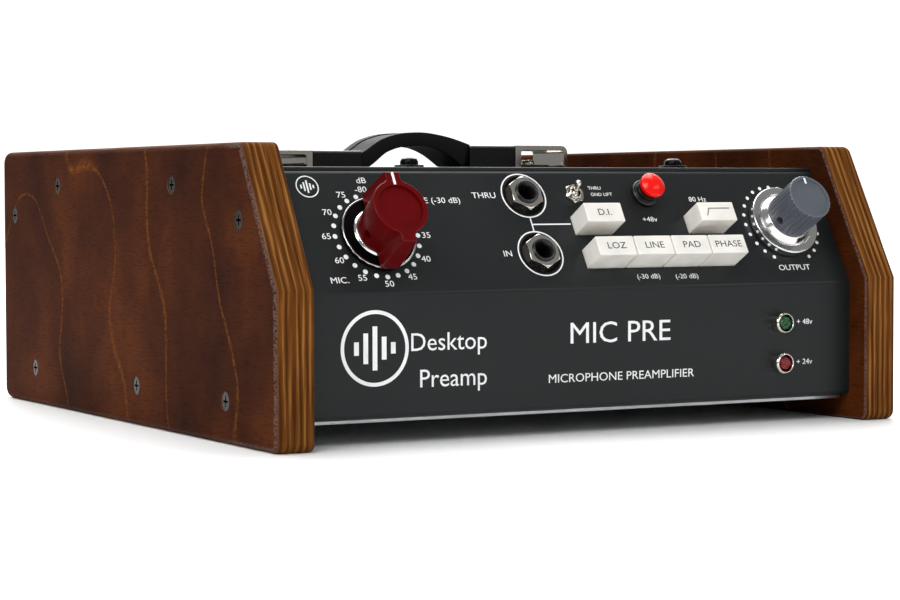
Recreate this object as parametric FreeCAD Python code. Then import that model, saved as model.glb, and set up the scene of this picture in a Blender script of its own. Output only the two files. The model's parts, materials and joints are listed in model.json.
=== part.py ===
import FreeCAD, Part
import math
import os
from FreeCAD import Placement, Rotation, Vector

# A desktop microphone preamplifier: two plywood cheeks, a folded steel chassis between them,
# a sloping control panel, a strap handle on the cover and the electronics inside.
#
# Millimetres. +X is to the right seen from the front, +Y points to the back and +Z up. The origin
# is on the surface that the cheeks stand on, midway between them and midway along their length.
# Sizes named "..._Y" are measured back from the front edge of the cheeks, and sizes named "..._S"
# are measured up the sloping panel from the fold at its foot.

# ---------------------------------------------------------------- overall
WIDTH = 300.0
DEPTH = 315.0
HEIGHT = 120.0

# ---------------------------------------------------------------- clearances
SIDE_GAP = 0.3            # sheet metal to cheek
SCREW_GAP = 0.15          # radial, fixed screw in its hole
RUN_GAP = 0.05            # radial, shaft or button stem in its guide
BUTTON_GAP = 0.4          # button cap to panel slot and to its neighbour
SEAT_GAP = 0.02           # countersunk head to its cone

# ---------------------------------------------------------------- cheeks
CHEEK_T = 17.0
CHEEK_KINK_Z = 62.6
CHEEK_TOP_SETBACK = 32.5
CHEEK_BACK_RADIUS = 6.0
CHEEK_FRONT_RADIUS = 4.0
CHEEK_OUTER_ROUND = 3.2
CHEEK_INNER_ROUND = 1.6

# ---------------------------------------------------------------- sheet metal
PANEL_T = 2.0
SHEET_T = 1.5
BEND = 1.0                # inside bend radius
PANEL_Y = 11.5            # face of the lower panel behind the cheek fronts
PANEL_BOTTOM_Z = 10.45
PANEL_KINK_Z = 60.3
SLOPE_DEG = 30.0          # slope from the vertical
COVER_DROP = 9.5          # cover surface below the top of the cheeks
PANEL_LIP = 16.0
TRAY_SETBACK = 6.0        # tray front edge behind the panel face
REAR_RECESS = 6.0         # rear panel face in front of the back of the cheeks
FLANGE_HEIGHT = 18.0
TAB_HALF = 11.0           # half height of the side tabs on the front and rear panels

# ---------------------------------------------------------------- cheek screws
CHEEK_SCREW_R = 2.0
CHEEK_HEAD_R = 4.0
CHEEK_HEAD_H = 2.3
CHEEK_SCREW_SUNK = 0.25
COVER_FLANGE_SCREW_DROP = 7.1     # below the cover surface
COVER_FLANGE_SCREW_Y = 101.5
COVER_FLANGE_SCREW_BACK = 76.9
TAB_SCREW_DROP = 21.1             # below the cover surface
FRONT_TAB_SCREW_IN = 5.7          # behind the face of the slope
REAR_TAB_SCREW_BACK = 17.1
TRAY_SCREW_Z = 17.2
TRAY_SCREW_YS = (47.6, 142.2)
TRAY_SCREW_BACK = 44.3

# ---------------------------------------------------------------- cover screws
COVER_SCREW_X = 65.5
COVER_SCREW_INSET = 9.5           # in from the front and rear edges of the cover
PAN_R = 3.8
PAN_H = 3.1
PAN_SHANK_R = 2.0
WASHER_R = 6.1
WASHER_T = 0.9

# ---------------------------------------------------------------- handle
HANDLE_Y = 180.0
HANDLE_WIDTH = 29.0
BRACKET_IN_X = 53.6
BRACKET_OUT_X = 82.6
SLEEVE_IN_X = 28.6
SLEEVE_HEIGHT = {"left": 9.0, "right": 11.8}
BRACKET_TOP_T = 2.2
BRACKET_INNER_LEG = 3.2
BRACKET_OUTER_LEG = 2.0
BRACKET_FOOT_T = 1.0
BRACKET_ROUND = 3.5
TONGUE_T = 1.6
HANDLE_SCREW_R = 2.2
HANDLE_HEAD_R = 3.6
HANDLE_HEAD_H = 2.4
STRAP_T = 6.4
STRAP_PEAK = 17.6                 # top of the strap above the cover
STRAP_END = {"left": 4.4, "right": 9.0}      # middle of the strap where it meets each sleeve
STRAP_WIDTH = 25.0
STRAP_TUCK = 8.0                  # length of strap inside each sleeve
STRAP_TUCK_T = 4.0
SLEEVE_WALL = 1.4

# ---------------------------------------------------------------- gain control
GAIN_FROM_LEFT = 39.2             # axis in from the cheek's inner face
GAIN_S = 25.9
SKIRT_LIFT = 0.5
GAIN_SKIRT_R = 16.1
GAIN_SKIRT_TOP = 2.7
GAIN_COLLAR_R = 11.2
GAIN_COLLAR_TOP = 3.5
GAIN_BASE_R = 10.0
GAIN_FACE_R = 11.9
GAIN_DISH_R = 9.5
GAIN_DISH_DEPTH = 1.0
KNOB_FACE_H = 24.0
WING_BASE_LENGTH = 33.4
WING_FACE_LENGTH = 31.2
WING_BASE_WIDTH = 8.0
WING_FACE_WIDTH = 6.4
WING_ROOT_R = 2.2                  # hollow where a wing meets the body
SHAFT_R = 3.0
SHAFT_REACH = 17.0                # shaft end above the panel
SWITCH_R = 17.0
SWITCH_DEPTH = 34.0
BUSHING_R = 4.8
BUSHING_OUT = 2.0
GRUB_R = 1.6
GRUB_LENGTH = 4.5
GAIN_GRUB_H = 9.5
GAIN_GRUB_DEG = 205.0

# ---------------------------------------------------------------- output control
OUTPUT_FROM_RIGHT = 26.6
OUTPUT_S = 29.3
OUTPUT_SKIRT_R = 16.4
OUTPUT_SKIRT_TOP = 4.2
OUTPUT_CONE_R = 12.2
OUTPUT_CONE_BASE = 4.5
OUTPUT_CONE_TOP = 7.0
OUTPUT_KNOB_R = 10.3
OUTPUT_FACE_H = 24.5
OUTPUT_FLUTES = 30
FLUTE_R = 0.75
POT_R = 12.0
POT_DEPTH = 16.0
OUTPUT_GRUB_H = 11.0
OUTPUT_GRUB_DEG = 205.0

# ---------------------------------------------------------------- sockets on the slope
JACK_X = -20.3
JACK_S = {"thru": 44.2, "in": 16.7}
JACK_BORE_R = 3.25
JACK_MOUTH_R = 4.4
JACK_THREAD_R = 5.1
JACK_OUT = 4.0
JACK_BODY_R = 8.0
JACK_BODY_DEPTH = 26.0
JACK_NUT_AF = 14.0
JACK_NUT_T = 2.5
JACK_WASHER_R = 9.2
JACK_WASHER_T = 0.5

# ---------------------------------------------------------------- toggle switch
TOGGLE_X = 4.0
TOGGLE_S = 44.3
TOGGLE_NUT_AF = 8.0
TOGGLE_NUT_T = 1.8
TOGGLE_THREAD_R = 2.9
TOGGLE_OUT = 3.0
TOGGLE_BORE_R = 2.2
TOGGLE_THROW_DEG = 22.0
TOGGLE_LENGTH = 5.9
TOGGLE_PIVOT_H = 0.8
LEVER_BASE_R = 0.9
LEVER_TIP_R = 1.3
TOGGLE_BODY = (8.0, 13.0, 11.0)

# ---------------------------------------------------------------- push buttons
CAP_WIDTH = 18.3
CAP_HEIGHT = 8.9
CAP_FACE_H = 11.4
CAP_INNER_H = -3.0
CAP_ROUND = 0.5
CAP_PITCH = CAP_WIDTH + BUTTON_GAP + 0.1
ROW_X = 9.65
ROW_S = 13.9
UPPER_S = 29.8
DI_X = 8.8
HIGHPASS_X = 65.9
BUTTON_TRAVEL = 3.5
PLUNGER = 4.0
PLUNGER_REACH = 9.0
SWITCH_BODY = (12.0, 8.4, 13.0)
SWITCH_BOARD_H = -22.0
BOARD_T = 1.6
SWITCH_BOARD_MARGIN = 6.2         # past the ends of the row of buttons
SWITCH_BOARD_S = (3.0, 37.0)
POST_R = 2.5
POST_INSET = 3.4

# ---------------------------------------------------------------- phantom power button
PHANTOM_X = 39.7
PHANTOM_S = 44.6
PHANTOM_FLANGE_R = 6.4
PHANTOM_FLANGE_H = 2.2
PHANTOM_COLLAR_R = 5.0
PHANTOM_COLLAR_H = 4.4
PHANTOM_STEM_R = 3.4
PHANTOM_CAP_R = 5.7
PHANTOM_CAP_BASE = 6.6
PHANTOM_CAP_TOP = 10.4
PHANTOM_DOME_H = 1.9
PHANTOM_TRAVEL = 2.0
PHANTOM_BODY_DEPTH = 14.0

# ---------------------------------------------------------------- lamps on the lower panel
LED_FROM_RIGHT = 38.0
LED_Z = {"green": 43.5, "red": 26.1}
LED_BEZEL_R = 4.5
LED_BEZEL_OUT = 5.0
LED_LENS_R = 3.2
LED_SHANK_R = 4.0
LED_DEPTH = 8.0
LED_NUT_R = 5.6
LED_NUT_T = 2.0

# ---------------------------------------------------------------- rear connectors
XLR_X = {"input": 88.0, "output": 44.0}
XLR_Z = 60.0
XLR_FLANGE = (26.0, 31.0, 2.0)
XLR_BODY_R = 11.8
XLR_DEPTH = 22.0
XLR_SOCKET_R = 9.6
XLR_SOCKET_DEPTH = 14.0
XLR_INSERT_R = 7.0
XLR_PIN_R = 1.2
XLR_PIN_CIRCLE = 4.5
XLR_SCREW_X = 9.5
XLR_SCREW_Z = 12.0
LATCH = (7.0, 2.6)
LATCH_TRAVEL = 1.4
LATCH_GAP = 0.3                   # latch tab to the edge of the rear panel
DC_X = -88.0
DC_Z = 60.0
DC_FLANGE_R = 7.5
DC_BODY_R = 5.9
DC_BORE_R = 3.1
DC_PIN_R = 1.05
DC_DEPTH = 14.0
REAR_SCREW_R = 1.5

# ---------------------------------------------------------------- electronics inside
MAIN_BOARD_HALF = 104.0
MAIN_BOARD_Y = 78.0
MAIN_BOARD_BACK = 36.0
STANDOFF_H = 8.0
STANDOFF_R = 3.0
STANDOFF_INSET = 7.0
INPUT_CAN_R = 17.0
INPUT_CAN_H = 42.0
TRANSFORMER = (52.0, 44.0, 44.0)
TRANSFORMER_COIL = (34.0, 62.0, 32.0)
CAPACITOR_R = 8.0
CAPACITOR_H = 32.0
HEATSINK = (60.0, 22.0, 40.0)
HEATSINK_FINS = 9
HEATSINK_FIN_T = 2.0
HEATSINK_BASE_T = 5.0

# ---------------------------------------------------------------- places that follow from these
FRONT = -DEPTH / 2
BACK = DEPTH / 2
INNER = WIDTH / 2 - CHEEK_T
METAL_HALF = INNER - SIDE_GAP
COVER_Z = HEIGHT - COVER_DROP
LIP_Z = COVER_Z - SHEET_T
SLOPE = math.radians(SLOPE_DEG)
PANEL_FACE = FRONT + PANEL_Y
SLOPE_TOP = PANEL_FACE + (LIP_Z - PANEL_KINK_Z) * math.tan(SLOPE)
COVER_FRONT = SLOPE_TOP + SHEET_T * math.tan(SLOPE)
REAR_FACE = BACK - REAR_RECESS
HANDLE_MIDDLE = FRONT + HANDLE_Y
TRAY_TOP = PANEL_BOTTOM_Z
GAIN_X = -INNER + GAIN_FROM_LEFT
OUTPUT_X = INNER - OUTPUT_FROM_RIGHT
LED_X = INNER - LED_FROM_RIGHT
BUTTONS = {
    "loz_button": (ROW_X, ROW_S),
    "line_button": (ROW_X + CAP_PITCH, ROW_S),
    "pad_button": (ROW_X + 2 * CAP_PITCH, ROW_S),
    "phase_button": (ROW_X + 3 * CAP_PITCH, ROW_S),
    "di_button": (DI_X, UPPER_S),
    "highpass_button": (HIGHPASS_X, UPPER_S),
}
SWITCH_BOARD_X = (min(x for x, s in BUTTONS.values()) - CAP_WIDTH / 2 - SWITCH_BOARD_MARGIN,
                  max(x for x, s in BUTTONS.values()) + CAP_WIDTH / 2 + SWITCH_BOARD_MARGIN)
TAB_Z = COVER_Z - TAB_SCREW_DROP
FRONT_TAB_Y = PANEL_FACE + (TAB_Z - PANEL_KINK_Z) * math.tan(SLOPE) + FRONT_TAB_SCREW_IN
MAIN_BOARD_Z = TRAY_TOP + STANDOFF_H + BOARD_T
MAIN_BOARD_FRONT = FRONT + MAIN_BOARD_Y
MAIN_BOARD_REAR = BACK - MAIN_BOARD_BACK
MAIN_BOARD_MIDDLE = (MAIN_BOARD_FRONT + MAIN_BOARD_REAR) / 2

X_AXIS, Y_AXIS, Z_AXIS = Vector(1, 0, 0), Vector(0, 1, 0), Vector(0, 0, 1)


# ---------------------------------------------------------------- helpers
def box(x0, x1, y0, y1, z0, z1):
    """A block between two corners."""
    return Part.makeBox(x1 - x0, y1 - y0, z1 - z0, Vector(x0, y0, z0))


def rod(radius, z0, z1, x=0.0, y=0.0):
    """A cylinder along Z."""
    return Part.makeCylinder(radius, z1 - z0, Vector(x, y, z0))


def cone(r0, r1, z0, z1):
    """A cone along Z, of radius r0 at z0 and r1 at z1."""
    return Part.makeCone(r0, r1, z1 - z0, Vector(0, 0, z0))


def tube(outer, inner, z0, z1):
    """A round tube along Z."""
    return rod(outer, z0, z1).cut(rod(inner, z0 - 1, z1 + 1))


def lathe(points):
    """A solid turned about Z from a closed outline of (radius, height) points."""
    loop = [Vector(r, 0, z) for r, z in points]
    return Part.Face(Part.makePolygon(loop + loop[:1])).revolve(Vector(), Z_AXIS, 360)


def hexagon(across_flats, z0, z1, chamfer):
    """A hexagonal nut blank with its outer corners chamfered."""
    corner = across_flats / math.sqrt(3)
    ring = [Vector(corner * math.cos(math.radians(a)), corner * math.sin(math.radians(a)), z0)
            for a in range(0, 361, 60)]
    prism = Part.Face(Part.makePolygon(ring)).extrude(Vector(0, 0, z1 - z0))
    return prism.common(lathe([(0, z0), (corner, z0), (corner, z1 - chamfer),
                               (across_flats / 2, z1), (0, z1)]))


def moved(shape, x=0.0, y=0.0, z=0.0):
    """A copy of the shape, shifted."""
    return shape.transformed(Placement(Vector(x, y, z), Rotation()).Matrix, True)


def turned(shape, axis, degrees):
    """A copy of the shape, turned about an axis through the origin."""
    return shape.transformed(Placement(Vector(), Rotation(axis, degrees)).Matrix, True)


def on_slope(shape, x=0.0, s=0.0):
    """Carry a shape drawn with its panel flat (X across, Y up the panel, Z outwards) to the slope."""
    tilt = Placement(Vector(0, PANEL_FACE, PANEL_KINK_Z), Rotation(X_AXIS, 90 - SLOPE_DEG))
    return moved(shape, x, s).transformed(tilt.Matrix, True)


def on_front(shape, x=0.0, z=0.0):
    """Carry a shape drawn flat to the upright lower panel, facing forwards."""
    stand = Placement(Vector(x, PANEL_FACE, z), Rotation(X_AXIS, 90))
    return shape.transformed(stand.Matrix, True)


def on_rear(shape, x=0.0, z=0.0):
    """Carry a shape drawn flat to the rear panel, facing backwards."""
    stand = Placement(Vector(x, REAR_FACE, z), Rotation(Z_AXIS, 180) * Rotation(X_AXIS, 90))
    return shape.transformed(stand.Matrix, True)


def mirrored(shape):
    """The shape's mirror image across the middle plane."""
    return shape.mirror(Vector(), X_AXIS)


def fused(shapes):
    """One solid made of several that meet."""
    result = shapes[0]
    for shape in shapes[1:]:
        result = result.fuse(shape)
    return result.removeSplitter()


def cut_all(shape, tools):
    """The shape less all the tools."""
    for tool in tools:
        shape = shape.cut(tool)
    return shape


def edges_along_x(shape, y, z):
    """The straight edges that run along X at the given place."""
    return [edge for edge in shape.Edges
            if all(abs(v.Y - y) < 1e-4 and abs(v.Z - z) < 1e-4 for v in edge.Vertexes)]


def offset_line(points, distance):
    """An open (y, z) line shifted to its right by a distance, with mitred corners."""
    normals = []
    for (y0, z0), (y1, z1) in zip(points, points[1:]):
        length = math.hypot(y1 - y0, z1 - z0)
        normals.append(((z1 - z0) / length, (y0 - y1) / length))
    shifted = []
    for i, (y, z) in enumerate(points):
        n0, n1 = normals[max(i - 1, 0)], normals[min(i, len(normals) - 1)]
        by, bz = n0[0] + n1[0], n0[1] + n1[1]
        scale = distance / (by * n0[0] + bz * n0[1])
        shifted.append((y + by * scale, z + bz * scale))
    return shifted


def folded_sheet(outer, thickness, half_width):
    """A sheet bent along X, from the (y, z) line of its outer skin, with rounded bends."""
    inner = offset_line(outer, thickness)
    loop = [Vector(-half_width, y, z) for y, z in outer + inner[::-1]]
    sheet = Part.Face(Part.makePolygon(loop + loop[:1])).extrude(Vector(2 * half_width, 0, 0))
    for (y, z) in outer[1:-1]:
        sheet = sheet.makeFillet(BEND + thickness, edges_along_x(sheet, y, z))
    for (y, z) in inner[1:-1]:
        sheet = sheet.makeFillet(BEND, edges_along_x(sheet, y, z))
    return sheet


def rounded_plate(width, height, z0, z1, radius):
    """A flat plate about Z with rounded corners."""
    plate = box(-width / 2, width / 2, -height / 2, height / 2, z0, z1)
    corners = [edge for edge in plate.Edges if abs(edge.tangentAt(0).z) > 0.99]
    return plate.makeFillet(radius, corners)


def cross_recess(width, length, z0, z1):
    """The cutter for a cross-head drive."""
    bar = box(-length / 2, length / 2, -width / 2, width / 2, z0, z1)
    return bar.fuse(turned(bar, Z_AXIS, 90))


def pan_screw(head_r, head_h, shank_r, length):
    """A domed cross-head screw that points down from the seat of its head at the origin."""
    edge = head_h * 0.45
    top = head_r * 0.55
    head = lathe([(0, 0), (head_r, 0), (head_r, edge), (head_r * 0.86, head_h * 0.8),
                  (top, head_h), (0, head_h)])
    screw = head.fuse(rod(shank_r, -length, 0)).removeSplitter()
    return screw.cut(cross_recess(head_r * 0.3, head_r * 1.1, head_h * 0.45, head_h + 1))


def sunk_screw(length):
    """A countersunk cross-head screw that points down from the rim of its head at the origin."""
    screw = lathe([(0, 0), (CHEEK_HEAD_R, 0), (CHEEK_HEAD_R, -0.3),
                   (CHEEK_SCREW_R, -CHEEK_HEAD_H), (CHEEK_SCREW_R, -length), (0, -length)])
    return screw.cut(cross_recess(0.9, 4.4, -1.5, 1))


# ---------------------------------------------------------------- cheeks and their screws
def cheek_screw_places():
    """The (y, z) place of every screw in one cheek."""
    cover_z = COVER_Z - COVER_FLANGE_SCREW_DROP
    places = [(FRONT + COVER_FLANGE_SCREW_Y, cover_z), (BACK - COVER_FLANGE_SCREW_BACK, cover_z)]
    places += [(FRONT_TAB_Y, TAB_Z), (BACK - REAR_TAB_SCREW_BACK, TAB_Z)]
    places += [(FRONT + y, TRAY_SCREW_Z) for y in TRAY_SCREW_YS]
    return places + [(BACK - TRAY_SCREW_BACK, TRAY_SCREW_Z)]


def right_cheek():
    """The right cheek with countersunk holes; the left one is its mirror image."""
    outline = [(FRONT, 0), (FRONT, CHEEK_KINK_Z), (FRONT + CHEEK_TOP_SETBACK, HEIGHT),
               (BACK, HEIGHT), (BACK, 0)]
    loop = [Vector(INNER, y, z) for y, z in outline]
    board = Part.Face(Part.makePolygon(loop + loop[:1])).extrude(Vector(CHEEK_T, 0, 0))
    for y, z in (outline[0], outline[2]):
        board = board.makeFillet(CHEEK_FRONT_RADIUS, edges_along_x(board, y, z))
    for y, z in outline[3:]:
        board = board.makeFillet(CHEEK_BACK_RADIUS, edges_along_x(board, y, z))
    for x, radius in ((WIDTH / 2, CHEEK_OUTER_ROUND), (INNER, CHEEK_INNER_ROUND)):
        rim = [e for e in board.Edges if all(abs(v.X - x) < 1e-4 for v in e.Vertexes)]
        board = board.makeFillet(radius, rim)
    rim_z = -CHEEK_SCREW_SUNK
    sink_r = CHEEK_HEAD_R + SEAT_GAP
    hole_r = CHEEK_SCREW_R + SCREW_GAP
    cutter = lathe([(0, 1), (sink_r, 1), (sink_r, rim_z - 0.3 - SEAT_GAP),
                    (hole_r, rim_z - CHEEK_HEAD_H - SEAT_GAP), (hole_r, -CHEEK_T - 1),
                    (0, -CHEEK_T - 1)])
    cutter = turned(cutter, Y_AXIS, 90)
    return cut_all(board, [moved(cutter, WIDTH / 2, y, z) for y, z in cheek_screw_places()])


def cheek_screws():
    """The screws that hold both cheeks to the chassis."""
    length = CHEEK_T + SIDE_GAP + SHEET_T + 1.5
    screw = moved(turned(sunk_screw(length), Y_AXIS, 90), WIDTH / 2 - CHEEK_SCREW_SUNK)
    right = [moved(screw, 0, y, z) for y, z in cheek_screw_places()]
    return right + [mirrored(one) for one in right]


def flange_hole(y, z):
    """The cutter for a cheek screw's hole through both side flanges."""
    radius = CHEEK_SCREW_R + SCREW_GAP
    return Part.makeCylinder(radius, 2 * INNER, Vector(-INNER, y, z), X_AXIS)


# ---------------------------------------------------------------- chassis
def slope_holes():
    """Cutters for the holes in the sloping panel, drawn with the panel flat."""
    through = (-3 * PANEL_T, PANEL_T)
    cutters = [rod(BUSHING_R + SCREW_GAP, *through, GAIN_X, GAIN_S),
               rod(BUSHING_R + SCREW_GAP, *through, OUTPUT_X, OUTPUT_S),
               rod(TOGGLE_THREAD_R + SCREW_GAP, *through, TOGGLE_X, TOGGLE_S),
               rod(PHANTOM_COLLAR_R + SCREW_GAP, *through, PHANTOM_X, PHANTOM_S)]
    cutters += [rod(JACK_THREAD_R + SCREW_GAP, *through, JACK_X, s) for s in JACK_S.values()]
    half_w, half_h = CAP_WIDTH / 2 + BUTTON_GAP, CAP_HEIGHT / 2 + BUTTON_GAP
    row_end = ROW_X + 3 * CAP_PITCH
    slots = [(ROW_X - half_w, row_end + half_w, ROW_S),
             (DI_X - half_w, DI_X + half_w, UPPER_S),
             (HIGHPASS_X - half_w, HIGHPASS_X + half_w, UPPER_S)]
    return cutters + [box(x0, x1, s - half_h, s + half_h, *through) for x0, x1, s in slots]


def front_panel():
    """The folded front: bottom lip, upright face, slope and the lip under the cover."""
    line = [(PANEL_FACE + PANEL_LIP, PANEL_BOTTOM_Z), (PANEL_FACE, PANEL_BOTTOM_Z),
            (PANEL_FACE, PANEL_KINK_Z), (SLOPE_TOP, LIP_Z), (SLOPE_TOP + PANEL_LIP, LIP_Z)]
    panel = folded_sheet(line, PANEL_T, METAL_HALF)
    skin_shift = PANEL_T / 2 / math.cos(SLOPE)
    low, high = TAB_Z - TAB_HALF, TAB_Z + TAB_HALF
    slope_y = [PANEL_FACE + (z - PANEL_KINK_Z) * math.tan(SLOPE) + skin_shift for z in (low, high)]
    corners = [(slope_y[0], low), (slope_y[1], high), (FRONT_TAB_Y + TAB_HALF, high),
               (FRONT_TAB_Y + TAB_HALF, low)]
    loop = [Vector(METAL_HALF - SHEET_T, y, z) for y, z in corners]
    tab = Part.Face(Part.makePolygon(loop + loop[:1])).extrude(Vector(SHEET_T, 0, 0))
    panel = fused([panel, tab, mirrored(tab)])
    holes = [on_slope(cutter) for cutter in slope_holes()]
    holes += [on_front(rod(LED_SHANK_R + SCREW_GAP, -3 * PANEL_T, PANEL_T), LED_X, z)
              for z in LED_Z.values()]
    holes += [rod(PAN_SHANK_R + SCREW_GAP, LIP_Z - 2 * PANEL_T, LIP_Z + 1, x,
                  COVER_FRONT + COVER_SCREW_INSET) for x in (-COVER_SCREW_X, COVER_SCREW_X)]
    return cut_all(panel, holes + [flange_hole(FRONT_TAB_Y, TAB_Z)])


def top_cover():
    """The flat cover with a flange down each side."""
    plate = box(-METAL_HALF, METAL_HALF, COVER_FRONT, REAR_FACE, LIP_Z, COVER_Z)
    rims = [e for e in edges_along_x(plate, COVER_FRONT, COVER_Z)]
    plate = plate.makeFillet(SHEET_T * 0.45, rims)
    flange = box(METAL_HALF - SHEET_T, METAL_HALF, SLOPE_TOP + PANEL_LIP + 14,
                 REAR_FACE - PANEL_LIP - 12, COVER_Z - FLANGE_HEIGHT, LIP_Z + SHEET_T / 2)
    cover = fused([plate, flange, mirrored(flange)])
    holes = [rod(PAN_SHANK_R + SCREW_GAP, LIP_Z - 1, COVER_Z + 1, x, y)
             for x, y in cover_screw_places()]
    holes += [rod(HANDLE_SCREW_R + SCREW_GAP, LIP_Z - 1, COVER_Z + 1, x, HANDLE_MIDDLE)
              for x in handle_screw_xs()]
    screw_z = COVER_Z - COVER_FLANGE_SCREW_DROP
    holes += [flange_hole(y, z) for y, z in cheek_screw_places() if abs(z - screw_z) < 0.01]
    return cut_all(cover, holes)


def bottom_tray():
    """The base plate with a flange up each side."""
    plate = box(-METAL_HALF, METAL_HALF, PANEL_FACE + TRAY_SETBACK, REAR_FACE,
                TRAY_TOP - SHEET_T, TRAY_TOP)
    flange = box(METAL_HALF - SHEET_T, METAL_HALF, PANEL_FACE + PANEL_LIP + 4,
                 REAR_FACE - PANEL_LIP - 2, TRAY_TOP - SHEET_T / 2, TRAY_TOP + FLANGE_HEIGHT)
    tray = fused([plate, flange, mirrored(flange)])
    holes = [flange_hole(y, z) for y, z in cheek_screw_places() if abs(z - TRAY_SCREW_Z) < 0.01]
    return cut_all(tray, holes)


def rear_panel():
    """The upright rear panel, with lips under the cover and on the tray."""
    lip_half = METAL_HALF - SHEET_T - 1
    line = [(REAR_FACE - PANEL_LIP, LIP_Z), (REAR_FACE, LIP_Z), (REAR_FACE, TRAY_TOP),
            (REAR_FACE - PANEL_LIP, TRAY_TOP)]
    panel = folded_sheet(line, PANEL_T, lip_half)
    skin = REAR_FACE - PANEL_T
    tab_y = BACK - REAR_TAB_SCREW_BACK
    wing = box(lip_half - 1, METAL_HALF, skin, REAR_FACE, TRAY_TOP + 8, LIP_Z - 4)
    tab = box(METAL_HALF - SHEET_T, METAL_HALF, tab_y - TAB_HALF + 2, skin + PANEL_T / 2,
              TAB_Z - TAB_HALF, TAB_Z + TAB_HALF)
    panel = fused([panel, wing, tab, mirrored(wing), mirrored(tab)])
    through = (-3 * PANEL_T, PANEL_T)
    holes = [on_rear(rod(XLR_BODY_R + SCREW_GAP, *through), x, XLR_Z) for x in XLR_X.values()]
    holes += [on_rear(rod(REAR_SCREW_R + SCREW_GAP, *through, dx, dz), x, XLR_Z)
              for x in XLR_X.values() for dx, dz in xlr_screw_offsets()]
    notch_w, notch_z = LATCH[0] / 2 + LATCH_GAP, latch_height() + LATCH[1] / 2 + LATCH_GAP
    holes.append(on_rear(box(-notch_w, notch_w, 0, notch_z, *through), XLR_X["input"], XLR_Z))
    holes.append(on_rear(rod(DC_BODY_R + SCREW_GAP, *through), DC_X, DC_Z))
    holes += [rod(PAN_SHANK_R + SCREW_GAP, LIP_Z - 2 * PANEL_T, LIP_Z + 1, x,
                  REAR_FACE - COVER_SCREW_INSET) for x in (-COVER_SCREW_X, COVER_SCREW_X)]
    return cut_all(panel, holes + [flange_hole(tab_y, TAB_Z)])


def cover_screw_places():
    """The (x, y) places of the four cover screws."""
    rows = (COVER_FRONT + COVER_SCREW_INSET, REAR_FACE - COVER_SCREW_INSET)
    return [(x, y) for x in (-COVER_SCREW_X, COVER_SCREW_X) for y in rows]


def cover_fasteners():
    """The pan-head screws of the cover, and the washers under them."""
    washer = tube(WASHER_R, PAN_SHANK_R + SCREW_GAP, 0, WASHER_T)
    screw = pan_screw(PAN_R, PAN_H, PAN_SHANK_R, WASHER_T + SHEET_T + PANEL_T + 3)
    places = cover_screw_places()
    screws = [moved(screw, x, y, COVER_Z + WASHER_T) for x, y in places]
    return screws, [moved(washer, x, y, COVER_Z) for x, y in places]


# ---------------------------------------------------------------- handle
def handle_screw_xs():
    """Where the two handle screws stand."""
    middle = (BRACKET_IN_X + BRACKET_INNER_LEG + BRACKET_OUT_X - BRACKET_OUTER_LEG) / 2
    return (-middle, middle)


def handle_bracket(side):
    """A plated bridge that is open to the front and back, drawn for the right-hand end."""
    height = SLEEVE_HEIGHT[side]
    half = HANDLE_WIDTH / 2
    outer = box(BRACKET_IN_X, BRACKET_OUT_X, -half, half, 0, height)
    corner = [e for e in outer.Edges
              if all(abs(v.X - BRACKET_OUT_X) < 1e-4 and abs(v.Z - height) < 1e-4
                     for v in e.Vertexes)]
    outer = outer.makeFillet(BRACKET_ROUND, corner)
    window = box(BRACKET_IN_X + BRACKET_INNER_LEG, BRACKET_OUT_X - BRACKET_OUTER_LEG,
                 -half - 1, half + 1, BRACKET_FOOT_T, height - BRACKET_TOP_T)
    edges = [e for e in window.Edges if abs(e.tangentAt(0).y) > 0.99 and e.Vertexes[0].Z > 2]
    window = window.makeFillet(1.5, edges)
    mouth = box(BRACKET_IN_X - 1, BRACKET_IN_X + BRACKET_INNER_LEG + 1, -half + 3, half - 3,
                BRACKET_FOOT_T, BRACKET_FOOT_T + TONGUE_T + 0.2)
    hole = rod(HANDLE_SCREW_R + SCREW_GAP, -1, BRACKET_FOOT_T + 1, handle_screw_xs()[1])
    return cut_all(outer, [window, mouth, hole])


def handle_sleeve(side):
    """The moulded block that grips one end of the strap, with a tongue under the screw."""
    half = HANDLE_WIDTH / 2
    height = SLEEVE_HEIGHT[side]
    block = box(SLEEVE_IN_X, BRACKET_IN_X - 0.1, -half, half, 0.3, height - 0.2)
    long_edges = [e for e in block.Edges
                  if abs(e.tangentAt(0).x) > 0.99 and e.Vertexes[0].Z > height / 2]
    block = block.makeFillet(1.2, long_edges)
    pocket = strap_end(side, 0.2)
    tongue_end = handle_screw_xs()[1] + HANDLE_HEAD_R + 2
    tongue = box(BRACKET_IN_X - 2, tongue_end, -half + 3.3, half - 3.3,
                 BRACKET_FOOT_T + 0.1, BRACKET_FOOT_T + TONGUE_T + 0.1)
    hole = rod(HANDLE_SCREW_R + SCREW_GAP, 0, height, handle_screw_xs()[1])
    return block.cut(pocket).fuse(tongue).removeSplitter().cut(hole)


def strap_end(side, play):
    """The thinned end of the strap inside a sleeve, with some play added round it."""
    half = STRAP_WIDTH / 2 - SLEEVE_WALL + play
    middle = SLEEVE_HEIGHT[side] / 2
    reach = STRAP_TUCK_T / 2 + play
    return box(SLEEVE_IN_X - 1, SLEEVE_IN_X + STRAP_TUCK + play, -half, half,
               middle - reach, middle + reach)


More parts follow.
